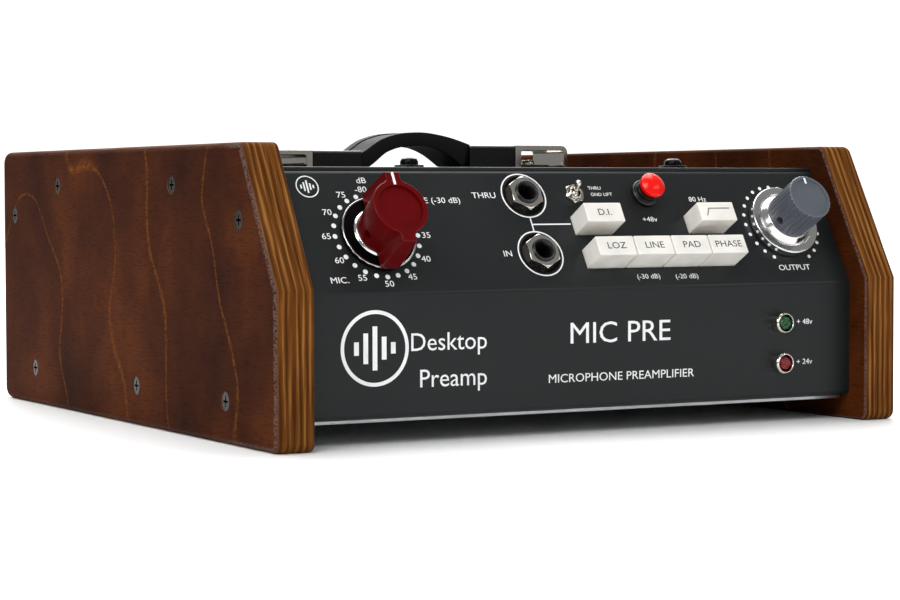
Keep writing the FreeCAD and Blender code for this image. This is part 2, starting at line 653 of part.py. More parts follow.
def strap():
    """The bowed strap, from one sleeve to the other."""
    crown = STRAP_PEAK - STRAP_T / 2
    half = STRAP_WIDTH / 2
    end_left, end_right = STRAP_END["left"], STRAP_END["right"]

    def skin(offset):
        """One long edge of the strap's side outline, above or below its middle."""
        points = [Vector(-SLEEVE_IN_X, 0, end_left + offset),
                  Vector(-SLEEVE_IN_X * 0.5, 0, crown * 0.75 + end_left * 0.25 + offset),
                  Vector(0, 0, crown + offset),
                  Vector(SLEEVE_IN_X * 0.5, 0, crown * 0.75 + end_right * 0.25 + offset),
                  Vector(SLEEVE_IN_X, 0, end_right + offset)]
        curve = Part.BSplineCurve()
        curve.interpolate(points)
        return curve.toShape()

    top, under = skin(STRAP_T / 2), skin(-STRAP_T / 2)
    sides = [Part.makeLine(top.valueAt(p), under.valueAt(p))
             for p in (top.FirstParameter, top.LastParameter)]
    outline = Part.Wire(Part.__sortEdges__([top, under] + sides))
    bow = moved(Part.Face(outline).extrude(Vector(0, 2 * half, 0)), 0, -half)
    tucked = [strap_end("right", 0.0), mirrored(strap_end("left", 0.0))]
    return moved(fused([bow] + tucked), 0, HANDLE_MIDDLE, COVER_Z)


def handle_parts():
    """All pieces of the handle by node name."""
    parts = {"handle_strap": strap()}
    for side in SLEEVE_HEIGHT:
        for name, piece in (("handle_bracket_", handle_bracket(side)),
                            ("handle_sleeve_", handle_sleeve(side))):
            piece = mirrored(piece) if side == "left" else piece
            parts[name + side] = moved(piece, 0, HANDLE_MIDDLE, COVER_Z)
    seat = BRACKET_FOOT_T + TONGUE_T + 0.1
    screw = pan_screw(HANDLE_HEAD_R, HANDLE_HEAD_H, HANDLE_SCREW_R, seat + SHEET_T + 3)
    parts["handle_screws"] = [moved(screw, x, HANDLE_MIDDLE, COVER_Z + seat)
                              for x in handle_screw_xs()]
    return parts


# ---------------------------------------------------------------- rotary controls
def grub_hole(radius, height, degrees, depth, grub_radius):
    """A round cutter or screw body that runs into a knob from its side."""
    screw = Part.makeCylinder(grub_radius, depth, Vector(radius - depth, 0, height), X_AXIS)
    return turned(screw, Z_AXIS, degrees)


def grub_screw(radius, height, degrees):
    """The grub screw that clamps a knob on its shaft, with a square socket in its end."""
    reach = radius - SHAFT_R - GRUB_LENGTH
    body = grub_hole(radius - reach, height, degrees, GRUB_LENGTH, GRUB_R)
    socket = turned(box(radius - reach - 1.2, radius, -0.7, 0.7, height - 0.7, height + 0.7),
                    Z_AXIS, degrees)
    return body.cut(socket)


def control_shaft(reach, depth):
    """The shaft of a rotary control, from inside its body to its end in the knob."""
    return rod(SHAFT_R, -depth, reach)


def panel_bushing(body, out):
    """Add the threaded bushing to a control's body and bore it for the shaft."""
    return body.fuse(rod(BUSHING_R, -PANEL_T - 1, out)).removeSplitter()


def rotary_body(radius, depth, shaft_depth):
    """The body of a rotary control behind the panel, bored for its shaft."""
    body = rod(radius, -depth, -PANEL_T)
    body = panel_bushing(body, BUSHING_OUT)
    return body.cut(rod(SHAFT_R + RUN_GAP, -shaft_depth - 0.5, BUSHING_OUT + 1))


def thin_nut():
    """The thin nut that clamps a rotary control to the panel, hidden under the skirt."""
    nut = hexagon(2 * BUSHING_R + 4, 0, SKIRT_LIFT + 1.2, 0.3)
    return nut.cut(rod(BUSHING_R + SCREW_GAP, -1, 4))


def gain_knob():
    """A dished round knob that flares to its face, with two wings across it."""
    body = cone(GAIN_BASE_R, GAIN_FACE_R, GAIN_COLLAR_TOP, KNOB_FACE_H)
    rings = []
    for length, width, z in ((WING_BASE_LENGTH, WING_BASE_WIDTH, GAIN_COLLAR_TOP),
                             (WING_FACE_LENGTH, WING_FACE_WIDTH, KNOB_FACE_H)):
        x, y = width / 2, length / 2
        loop = [Vector(-x, -y, z), Vector(x, -y, z), Vector(x, y, z), Vector(-x, y, z)]
        rings.append(Part.makePolygon(loop + loop[:1]))
    wings = Part.makeLoft(rings, True, True)
    knob = fused([body, wings])
    roots = [e for e in knob.Edges if e.BoundBox.ZLength > KNOB_FACE_H / 2
             and max(math.hypot(v.X, v.Y) for v in e.Vertexes) < GAIN_FACE_R + 0.1]
    knob = knob.makeFillet(WING_ROOT_R, roots)
    face = [e for e in knob.Edges if all(abs(v.Z - KNOB_FACE_H) < 1e-4 for v in e.Vertexes)]
    knob = knob.makeFillet(0.5, face)
    shaft_hole = rod(SHAFT_R + SCREW_GAP, 0, SHAFT_REACH + 0.5)
    side_hole = grub_hole(GAIN_FACE_R, GAIN_GRUB_H, GAIN_GRUB_DEG,
                          GAIN_FACE_R, GRUB_R + SCREW_GAP)
    dish = rod(GAIN_DISH_R, KNOB_FACE_H - GAIN_DISH_DEPTH, KNOB_FACE_H + 1)
    return cut_all(knob, [shaft_hole, side_hole, dish])


def gain_parts():
    """The gain control by node name."""
    skirt_base = thin_nut_clearance()
    skirt = lathe([(SHAFT_R + SCREW_GAP, skirt_base), (BUSHING_R + 3.5, skirt_base),
                   (BUSHING_R + 3.5, SKIRT_LIFT), (GAIN_SKIRT_R, SKIRT_LIFT),
                   (GAIN_SKIRT_R, GAIN_SKIRT_TOP - 0.3), (GAIN_SKIRT_R - 0.3, GAIN_SKIRT_TOP),
                   (SHAFT_R + SCREW_GAP, GAIN_SKIRT_TOP)])
    collar = lathe([(SHAFT_R + SCREW_GAP, GAIN_SKIRT_TOP), (GAIN_COLLAR_R, GAIN_SKIRT_TOP),
                    (GAIN_BASE_R + 0.3, GAIN_COLLAR_TOP), (SHAFT_R + SCREW_GAP, GAIN_COLLAR_TOP)])
    shapes = {
        "gain_knob": gain_knob(),
        "gain_skirt": skirt,
        "gain_collar": collar,
        "gain_grub_screw": grub_screw(GAIN_BASE_R, GAIN_GRUB_H, GAIN_GRUB_DEG),
        "gain_shaft": control_shaft(SHAFT_REACH, SWITCH_DEPTH - 6),
        "gain_switch": rotary_body(SWITCH_R, SWITCH_DEPTH, SWITCH_DEPTH - 6),
        "gain_switch_nut": thin_nut(),
    }
    return {name: on_slope(shape, GAIN_X, GAIN_S) for name, shape in shapes.items()}


def thin_nut_clearance():
    """The height of the skirts' undersides over the nuts."""
    return SKIRT_LIFT + 1.6


def output_knob():
    """A fluted cylinder with a shallow dish in its end."""
    knob = rod(OUTPUT_KNOB_R, OUTPUT_CONE_TOP, OUTPUT_FACE_H)
    rim = [e for e in knob.Edges if all(abs(v.Z - OUTPUT_FACE_H) < 1e-4 for v in e.Vertexes)]
    knob = knob.makeChamfer(0.5, rim)
    cutters = [turned(rod(FLUTE_R, OUTPUT_CONE_TOP + 1.5, OUTPUT_FACE_H + 1,
                          OUTPUT_KNOB_R + FLUTE_R * 0.55), Z_AXIS, 360 * i / OUTPUT_FLUTES)
               for i in range(OUTPUT_FLUTES)]
    cutters.append(rod(OUTPUT_KNOB_R - 1.8, OUTPUT_FACE_H - 0.4, OUTPUT_FACE_H + 1))
    cutters.append(rod(SHAFT_R + SCREW_GAP, 0, SHAFT_REACH + 0.5))
    cutters.append(grub_hole(OUTPUT_KNOB_R + 1, OUTPUT_GRUB_H, OUTPUT_GRUB_DEG,
                             OUTPUT_KNOB_R + 1, GRUB_R + SCREW_GAP))
    return cut_all(knob, cutters)


def output_parts():
    """The output control by node name."""
    skirt_base = thin_nut_clearance()
    inner = SHAFT_R + SCREW_GAP
    skirt = lathe([(inner, skirt_base), (BUSHING_R + 3.5, skirt_base),
                   (BUSHING_R + 3.5, SKIRT_LIFT), (OUTPUT_SKIRT_R, SKIRT_LIFT),
                   (OUTPUT_SKIRT_R, OUTPUT_SKIRT_TOP - 0.4),
                   (OUTPUT_SKIRT_R - 0.4, OUTPUT_SKIRT_TOP),
                   (OUTPUT_CONE_R + 0.6, OUTPUT_SKIRT_TOP - 0.2),
                   (OUTPUT_CONE_R + 0.3, OUTPUT_SKIRT_TOP - 0.6),
                   (OUTPUT_CONE_R, OUTPUT_CONE_BASE),
                   (OUTPUT_KNOB_R + 0.3, OUTPUT_CONE_TOP), (inner, OUTPUT_CONE_TOP)])
    shapes = {
        "output_knob": output_knob(),
        "output_skirt": skirt,
        "output_grub_screw": grub_screw(OUTPUT_KNOB_R, OUTPUT_GRUB_H, OUTPUT_GRUB_DEG),
        "output_shaft": control_shaft(SHAFT_REACH, POT_DEPTH - 4),
        "output_pot": rotary_body(POT_R, POT_DEPTH, POT_DEPTH - 4),
        "output_pot_nut": thin_nut(),
    }
    return {name: on_slope(shape, OUTPUT_X, OUTPUT_S) for name, shape in shapes.items()}


# ---------------------------------------------------------------- sockets, toggle and lamps
def jack_socket():
    """A jack socket: body behind the panel and the threaded mouth through it."""
    body = rod(JACK_BODY_R, -JACK_BODY_DEPTH, -PANEL_T)
    socket = body.fuse(rod(JACK_THREAD_R, -PANEL_T - 1, JACK_OUT)).removeSplitter()
    bore = rod(JACK_BORE_R, -JACK_BODY_DEPTH + 3, JACK_OUT + 1)
    mouth = cone(JACK_BORE_R, JACK_MOUTH_R, JACK_OUT - 2.0, JACK_OUT + 0.001)
    return cut_all(socket, [bore, mouth])


def jack_parts():
    """The two jack sockets with their washers and nuts."""
    washer = tube(JACK_WASHER_R, JACK_THREAD_R + SCREW_GAP, 0, JACK_WASHER_T)
    nut = hexagon(JACK_NUT_AF, JACK_WASHER_T, JACK_WASHER_T + JACK_NUT_T, 0.6)
    nut = turned(nut.cut(rod(JACK_THREAD_R + SCREW_GAP, -1, 9)), Z_AXIS, 30)
    parts = {"jack_" + name: on_slope(jack_socket(), JACK_X, s) for name, s in JACK_S.items()}
    parts["jack_washers"] = [on_slope(washer, JACK_X, s) for s in JACK_S.values()]
    parts["jack_nuts"] = [on_slope(nut, JACK_X, s) for s in JACK_S.values()]
    return parts


def toggle_parts():
    """The small toggle switch: body, nut and lever, with the lever up."""
    width, length, depth = TOGGLE_BODY
    body = box(-width / 2, width / 2, -length / 2, length / 2, -PANEL_T - depth, -PANEL_T)
    switch = body.fuse(rod(TOGGLE_THREAD_R, -PANEL_T - 1, TOGGLE_OUT)).removeSplitter()
    floor = TOGGLE_PIVOT_H - TOGGLE_BORE_R - 0.3
    switch = switch.cut(rod(TOGGLE_BORE_R, floor, TOGGLE_OUT + 1))
    nut = hexagon(TOGGLE_NUT_AF, 0, TOGGLE_NUT_T, 0.4)
    nut = turned(nut.cut(rod(TOGGLE_THREAD_R + SCREW_GAP, -1, 5)), Z_AXIS, 15)
    bat = cone(LEVER_BASE_R, LEVER_TIP_R, 0, TOGGLE_LENGTH)
    tip = Part.makeSphere(LEVER_TIP_R, Vector(0, 0, TOGGLE_LENGTH))
    ball = Part.makeSphere(TOGGLE_BORE_R - 3 * RUN_GAP)
    lever = turned(fused([bat, tip, ball]), X_AXIS, -TOGGLE_THROW_DEG)
    shapes = {"toggle_switch": switch, "toggle_nut": nut,
              "toggle_lever": moved(lever, 0, 0, TOGGLE_PIVOT_H)}
    return {name: on_slope(shape, TOGGLE_X, TOGGLE_S) for name, shape in shapes.items()}


def phantom_parts():
    """The round phantom power button and the black bushing that guides it."""
    bushing = lathe([(PHANTOM_STEM_R + RUN_GAP, -PHANTOM_BODY_DEPTH + 2),
                     (PHANTOM_STEM_R + RUN_GAP, PHANTOM_COLLAR_H),
                     (PHANTOM_COLLAR_R, PHANTOM_COLLAR_H), (PHANTOM_COLLAR_R, PHANTOM_FLANGE_H),
                     (PHANTOM_FLANGE_R - 0.5, PHANTOM_FLANGE_H),
                     (PHANTOM_FLANGE_R, PHANTOM_FLANGE_H - 0.6), (PHANTOM_FLANGE_R, 0),
                     (PHANTOM_COLLAR_R, 0), (PHANTOM_COLLAR_R, -PANEL_T),
                     (PHANTOM_FLANGE_R, -PANEL_T), (PHANTOM_FLANGE_R, -PHANTOM_BODY_DEPTH),
                     (0, -PHANTOM_BODY_DEPTH), (0, -PHANTOM_BODY_DEPTH + 2)])
    ball_r = (PHANTOM_CAP_R ** 2 + PHANTOM_DOME_H ** 2) / (2 * PHANTOM_DOME_H)
    ball = Part.makeSphere(ball_r, Vector(0, 0, PHANTOM_CAP_TOP - ball_r))
    cap = lathe([(0, PHANTOM_CAP_BASE), (PHANTOM_CAP_R - 0.4, PHANTOM_CAP_BASE),
                 (PHANTOM_CAP_R, PHANTOM_CAP_BASE + 0.4), (PHANTOM_CAP_R, PHANTOM_CAP_TOP + 1),
                 (0, PHANTOM_CAP_TOP + 1)]).common(ball)
    stem_foot = -PHANTOM_BODY_DEPTH + 2 + PHANTOM_TRAVEL + 0.5
    button = fused([cap, rod(PHANTOM_STEM_R, stem_foot, PHANTOM_CAP_BASE + 1)])
    return {"phantom_button": on_slope(button, PHANTOM_X, PHANTOM_S),
            "phantom_bushing": on_slope(bushing, PHANTOM_X, PHANTOM_S)}


def lamp_parts():
    """The two lamps: plated bezels with their nuts, and the coloured lenses."""
    bezel = lathe([(LED_LENS_R + SCREW_GAP, -LED_DEPTH), (LED_SHANK_R, -LED_DEPTH),
                   (LED_SHANK_R, 0), (LED_BEZEL_R, 0), (LED_BEZEL_R, LED_BEZEL_OUT - 0.7),
                   (LED_BEZEL_R - 0.5, LED_BEZEL_OUT), (LED_LENS_R + 0.6, LED_BEZEL_OUT),
                   (LED_LENS_R + SCREW_GAP, LED_BEZEL_OUT - 0.9)])
    nut = hexagon(2 * LED_NUT_R * 0.9, -PANEL_T - LED_NUT_T, -PANEL_T, 0.2)
    bezel = bezel.fuse(nut.cut(rod(LED_SHANK_R - 0.2, -LED_DEPTH, 0))).removeSplitter()
    straight = LED_BEZEL_OUT - 2.2
    lens = fused([rod(LED_LENS_R, -LED_DEPTH, straight),
                  Part.makeSphere(LED_LENS_R, Vector(0, 0, straight)).common(
                      rod(LED_LENS_R + 1, straight - 1, LED_BEZEL_OUT))])
    return {
        "led_bezels": [on_front(bezel, LED_X, z) for z in LED_Z.values()],
        "led_lens_green": on_front(lens, LED_X, LED_Z["green"]),
        "led_lens_red": on_front(lens, LED_X, LED_Z["red"]),
    }


# ---------------------------------------------------------------- push buttons and their board
def push_button():
    """A button cap with its plunger."""
    half_w, half_h = CAP_WIDTH / 2, CAP_HEIGHT / 2
    cap = box(-half_w, half_w, -half_h, half_h, CAP_INNER_H, CAP_FACE_H)
    crisp = [e for e in cap.Edges if any(v.Z > CAP_FACE_H - 1 for v in e.Vertexes)]
    cap = cap.makeFillet(CAP_ROUND, crisp)
    half = PLUNGER / 2
    plunger = box(-half, half, -half, half, CAP_INNER_H - PLUNGER_REACH, CAP_INNER_H + 1)
    return fused([cap, plunger])


def switch_body():
    """One push switch on the switch board, bored for its plunger."""
    width, height, depth = SWITCH_BODY
    half = PLUNGER / 2 + RUN_GAP
    body = box(-width / 2, width / 2, -height / 2, height / 2, SWITCH_BOARD_H,
               SWITCH_BOARD_H + depth)
    foot = CAP_INNER_H - PLUNGER_REACH - BUTTON_TRAVEL - 0.5
    return body.cut(box(-half, half, -half, half, foot, 0))


def switch_board_parts():
    """The push buttons, their switches, the board behind them and its posts."""
    parts = {name: on_slope(push_button(), x, s) for name, (x, s) in BUTTONS.items()}
    parts["switch_bank"] = [on_slope(switch_body(), x, s) for x, s in BUTTONS.values()]
    (x0, x1), (s0, s1) = SWITCH_BOARD_X, SWITCH_BOARD_S
    under = SWITCH_BOARD_H - BOARD_T
    parts["switch_board"] = on_slope(box(x0, x1, s0, s1, under, SWITCH_BOARD_H))
    parts["switch_board_posts"] = [on_slope(rod(POST_R, SWITCH_BOARD_H, -PANEL_T, x, s))
                                   for x in (x0 + POST_INSET, x1 - POST_INSET)
                                   for s in (s0 + POST_INSET, s1 - POST_INSET)]
    return parts


# ---------------------------------------------------------------- rear connectors
def xlr_screw_offsets():
    """The two diagonal screws of a connector flange."""
    return ((-XLR_SCREW_X, XLR_SCREW_Z), (XLR_SCREW_X, -XLR_SCREW_Z))


def xlr_shell():
    """The flange and barrel that both connectors share, with an open socket."""
    width, height, thickness = XLR_FLANGE
    shell = fused([rounded_plate(width, height, 0, thickness, 3.0),
                   rod(XLR_BODY_R, -XLR_DEPTH, thickness / 2)])
    holes = [rod(REAR_SCREW_R + SCREW_GAP, -1, thickness + 1, x, z)
             for x, z in xlr_screw_offsets()]
    socket = rod(XLR_SOCKET_R, thickness - XLR_SOCKET_DEPTH, thickness + 1)
    return cut_all(shell, holes + [socket])


def xlr_pin_places():
    """The three contacts of a connector."""
    r = XLR_PIN_CIRCLE
    return ((-r, 0.0), (r, 0.0), (0.0, -r))


def xlr_input():
    """The socket for the microphone, with three holes in its insert and a slot for the latch."""
    floor = XLR_FLANGE[2] - XLR_SOCKET_DEPTH
    insert = rod(XLR_INSERT_R, floor - 1, XLR_FLANGE[2] - 1)
    insert = cut_all(insert, [rod(XLR_PIN_R + 0.2, floor + 2, XLR_FLANGE[2], x, z)
                              for x, z in xlr_pin_places()])
    width, height = LATCH
    z0 = latch_height()
    slot = box(-width / 2 - RUN_GAP, width / 2 + RUN_GAP, z0 - height / 2 - RUN_GAP,
               z0 + height / 2 + RUN_GAP, -4.0, XLR_FLANGE[2] + 1)
    return fused([xlr_shell(), insert]).cut(slot)


def latch_height():
    """How far the latch tab stands above the connector's middle."""
    return XLR_SOCKET_R + LATCH[1] / 2 + 1.2


def xlr_latch():
    """The release tab above the microphone socket."""
    width, height = LATCH
    z0 = latch_height()
    reach = -4.0 + LATCH_TRAVEL + 0.3
    return box(-width / 2, width / 2, z0 - height / 2, z0 + height / 2, reach,
               XLR_FLANGE[2] + LATCH_TRAVEL + 0.2)


def xlr_output():
    """The line output, a round well with three pins."""
    floor = XLR_FLANGE[2] - XLR_SOCKET_DEPTH
    pins = [rod(XLR_PIN_R, floor - 0.5, XLR_FLANGE[2] - 1, x, z) for x, z in xlr_pin_places()]
    return fused([xlr_shell()] + pins)


def dc_socket():
    """The round low-voltage power inlet with its centre pin."""
    shell = lathe([(0, -DC_DEPTH), (DC_BODY_R, -DC_DEPTH), (DC_BODY_R, 0), (DC_FLANGE_R, 0),
                   (DC_FLANGE_R, 1.6), (DC_FLANGE_R - 0.5, 2.0), (DC_BORE_R, 2.0),
                   (DC_BORE_R, -DC_DEPTH + 3), (0, -DC_DEPTH + 3)])
    return shell.fuse(rod(DC_PIN_R, -DC_DEPTH + 2, 0.5)).removeSplitter()


def rear_parts():
    """Everything on the rear panel by node name."""
    screw = pan_screw(2.8, 1.8, REAR_SCREW_R, XLR_FLANGE[2] + PANEL_T + 2)
    screws = [on_rear(moved(screw, dx, dz, XLR_FLANGE[2]), x, XLR_Z)
              for x in XLR_X.values() for dx, dz in xlr_screw_offsets()]
    return {
        "xlr_input": on_rear(xlr_input(), XLR_X["input"], XLR_Z),
        "xlr_latch": on_rear(xlr_latch(), XLR_X["input"], XLR_Z),
        "xlr_output": on_rear(xlr_output(), XLR_X["output"], XLR_Z),
        "dc_socket": on_rear(dc_socket(), DC_X, DC_Z),
        "connector_screws": screws,
    }


# ---------------------------------------------------------------- electronics
def heatsink():
    """A finned heatsink with the round output transistor on its back."""
    width, depth, height = HEATSINK
    base = box(-width / 2, width / 2, 0, HEATSINK_BASE_T, 0, height)
    pitch = (width - HEATSINK_FIN_T) / (HEATSINK_FINS - 1)
    fins = [box(-width / 2 + i * pitch, -width / 2 + i * pitch + HEATSINK_FIN_T,
                HEATSINK_BASE_T / 2, depth, 0, height) for i in range(HEATSINK_FINS)]
    can = Part.makeCylinder(10.0, 7.0, Vector(0, -7.0, height / 2), Y_AXIS)
    plate = Part.makeCylinder(13.0, 1.6, Vector(0, -1.6, height / 2), Y_AXIS)
    return fused([base] + fins + [plate, can])


def electronics():
    """The main board with its standoffs, transformers, capacitors and output stage."""
    z = MAIN_BOARD_Z
    half, y0, y1 = MAIN_BOARD_HALF, MAIN_BOARD_FRONT, MAIN_BOARD_REAR
    middle = MAIN_BOARD_MIDDLE
    posts = [rod(STANDOFF_R, TRAY_TOP, z - BOARD_T, x, y)
             for x in (-half + STANDOFF_INSET, 0, half - STANDOFF_INSET)
             for y in (y0 + STANDOFF_INSET, y1 - STANDOFF_INSET)]
    can = rod(INPUT_CAN_R, 0, INPUT_CAN_H)
    can = can.makeFillet(2.0, [e for e in can.Edges if e.Vertexes[0].Z > INPUT_CAN_H - 0.01])
    core_w, core_d, core_h = TRANSFORMER
    coil_w, coil_d, coil_h = TRANSFORMER_COIL
    core = box(-core_w / 2, core_w / 2, -core_d / 2, core_d / 2, 0, core_h)
    lift = (core_h - coil_h) / 2
    coil = box(-coil_w / 2, coil_w / 2, -coil_d / 2, coil_d / 2, lift, lift + coil_h)
    capacitor = rod(CAPACITOR_R, 0, CAPACITOR_H)
    pitch = 2 * CAPACITOR_R + 5
    capacitors = [moved(capacitor, (i - 1) * pitch, middle - 20 + j * pitch, z)
                  for i in range(3) for j in range(2)]
    return {
        "main_board": box(-half, half, y0, y1, z - BOARD_T, z),
        "board_standoffs": posts,
        "input_transformer": moved(can, -half + 28, middle, z),
        "output_transformer": moved(fused([core, coil]), half - 38, middle, z),
        "filter_capacitors": capacitors,
        "heatsink": moved(heatsink(), 0, y1 - HEATSINK[1] - 12, z),
    }


# ---------------------------------------------------------------- everything
def all_parts():
    """Every sub-part: node name to a solid or a list of solids."""
    cheek = right_cheek()
    screws, washers = cover_fasteners()
    parts = {
        "cheek_right": cheek,
        "cheek_left": mirrored(cheek),
        "cheek_screws": cheek_screws(),
        "front_panel": front_panel(),
        "top_cover": top_cover(),
        "bottom_tray": bottom_tray(),
        "rear_panel": rear_panel(),
        "cover_screws": screws,
        "cover_washers": washers,
    }
    for group in (handle_parts, gain_parts, output_parts, jack_parts, toggle_parts,
                  phantom_parts, lamp_parts, switch_board_parts, rear_parts, electronics):
        parts.update(group())
    return parts


os.makedirs("parts", exist_ok=True)
for name, shape in all_parts().items():
    solids = shape if isinstance(shape, list) else [shape]
    whole = Part.makeCompound([solid for piece in solids for solid in piece.Solids])
    if not whole.isValid():
        print("not valid:", name)
    whole.exportStep(os.path.join("parts", name + ".step"))
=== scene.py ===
"""Looks of a desktop microphone preamplifier: its finishes, strap, softened edges and panel print."""
import json
import logging
import math
from dataclasses import dataclass
from enum import Enum

import bpy
from mathutils import Matrix, Vector


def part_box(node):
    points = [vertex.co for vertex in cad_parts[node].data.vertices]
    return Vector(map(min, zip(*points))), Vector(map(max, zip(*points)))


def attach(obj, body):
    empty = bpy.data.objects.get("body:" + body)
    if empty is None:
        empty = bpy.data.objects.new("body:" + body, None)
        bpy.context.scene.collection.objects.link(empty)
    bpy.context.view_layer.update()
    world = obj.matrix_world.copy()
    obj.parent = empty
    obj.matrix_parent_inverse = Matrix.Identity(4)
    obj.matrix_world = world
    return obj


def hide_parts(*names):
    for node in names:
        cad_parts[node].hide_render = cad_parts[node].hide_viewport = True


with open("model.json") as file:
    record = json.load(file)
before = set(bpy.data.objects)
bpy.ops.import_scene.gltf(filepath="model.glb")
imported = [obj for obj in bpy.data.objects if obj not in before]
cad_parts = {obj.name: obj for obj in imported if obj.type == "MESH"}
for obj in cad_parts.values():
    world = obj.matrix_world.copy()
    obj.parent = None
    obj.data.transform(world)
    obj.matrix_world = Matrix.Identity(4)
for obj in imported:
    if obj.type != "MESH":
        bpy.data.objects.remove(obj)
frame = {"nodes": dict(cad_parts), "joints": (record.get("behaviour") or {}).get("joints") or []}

LOG = logging.getLogger("preamplifier")
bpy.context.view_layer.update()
MM = 0.001
CHASSIS = "chassis"
BUTTONS = ("loz", "line", "pad", "phase", "di", "highpass")


class Slot(str, Enum):
    """The material slots of the record that a piece can take its finish from."""

    PLY = "walnut_ply"
    POWDER = "charcoal_powder_coat"
    ZINC = "zinc_steel"
    BLACK_STEEL = "black_steel"
    NICKEL = "nickel_plate"
    STRAP = "strap_rubber"
    SLEEVE = "sleeve_plastic"
    RED_KNOB = "red_plastic"
    GREY_KNOB = "grey_plastic"
    BLACK_SKIRT = "black_skirt"
    ALUMINIUM = "bright_aluminium"
    JACK = "jack_plastic"
    CAP = "white_plastic"
    RED_BUTTON = "button_red"
    BUSHING = "bushing_plastic"
    GREEN_LENS = "green_lens"
    RED_LENS = "red_lens"
    SWITCH = "switch_plastic"
    BOARD = "circuit_board"
    BRASS = "brass"
    CAN = "screening_can"
    CORE = "core_steel"
    CAPACITOR = "capacitor_sleeve"
    ANODISED = "black_anodised"
    CONNECTOR = "connector_metal"
    WHITE_INK = "white_ink"
    DARK_INK = "dark_ink"


# ---------------------------------------------------------------- materials

def linear(colour: str) -> tuple[float, float, float, float]:
    """Turns an sRGB hex colour to linear light.

    Args:
        colour: The colour as "#rrggbb".

    Returns:
        Linear red, green and blue, with an alpha of 1.
    """
    parts = [int(colour[i:i + 2], 16) / 255 for i in (1, 3, 5)]
    bent = [p / 12.92 if p <= 0.04045 else ((p + 0.055) / 1.055) ** 2.4 for p in parts]
    return bent[0], bent[1], bent[2], 1.0


def add_node(tree: bpy.types.NodeTree, kind: str, settings: dict | None = None, values: dict | None = None,
             links: dict | None = None, stops: tuple = ()) -> bpy.types.Node:
    """Adds one shader node with its settings and links.

    Args:
        tree: The node tree it goes in.
        kind: The node's type without its "ShaderNode" prefix.
        settings: Attributes of the node by name.
        values: Values of unlinked inputs, by name or number.
        links: Output sockets that feed its inputs, by name or number.
        stops: (position, hex colour) pairs for a colour ramp.

    Returns:
        The new node.
    """
    node = tree.nodes.new("ShaderNode" + kind)
    for name, value in (settings or {}).items():
        setattr(node, name, value)
    for name, value in (values or {}).items():
        node.inputs[name].default_value = value
    for name, socket in (links or {}).items():
        tree.links.new(socket, node.inputs[name])
    if stops:
        ramp = node.color_ramp.elements
        while len(ramp) < len(stops):
            ramp.new(0.5)
        for element, (position, colour) in zip(ramp, stops):
            element.position, element.color = position, linear(colour)
    return node


@dataclass(frozen=True)
class Finish:
    """A surface finish. Lengths are in millimetres on the object."""

    name: str
    colour: str
    roughness: float = 0.4
    metallic: float = 0.0
    shine: float = 0.5

    def start(self) -> tuple:
        """Makes the material with its shader's plain values.

        Returns:
            The material, its tree, its shader, and the place on the object in millimetres.
        """
        material = bpy.data.materials.new(self.name)
        material.use_nodes = True
        material.diffuse_color = linear(self.colour)
        tree = material.node_tree
        shader = tree.nodes["Principled BSDF"]
        shader.inputs["Base Color"].default_value = linear(self.colour)
        shader.inputs["Roughness"].default_value = self.roughness
        shader.inputs["Metallic"].default_value = self.metallic
        shader.inputs["Specular IOR Level"].default_value = self.shine
        where = add_node(tree, "TexCoord")
        place = add_node(tree, "Mapping", values={"Scale": (1 / MM,) * 3}, links={"Vector": where.outputs["Object"]})
        return material, tree, shader, place.outputs["Vector"]

    def material(self) -> bpy.types.Material:
        """Makes the plain material."""
        return self.start()[0]


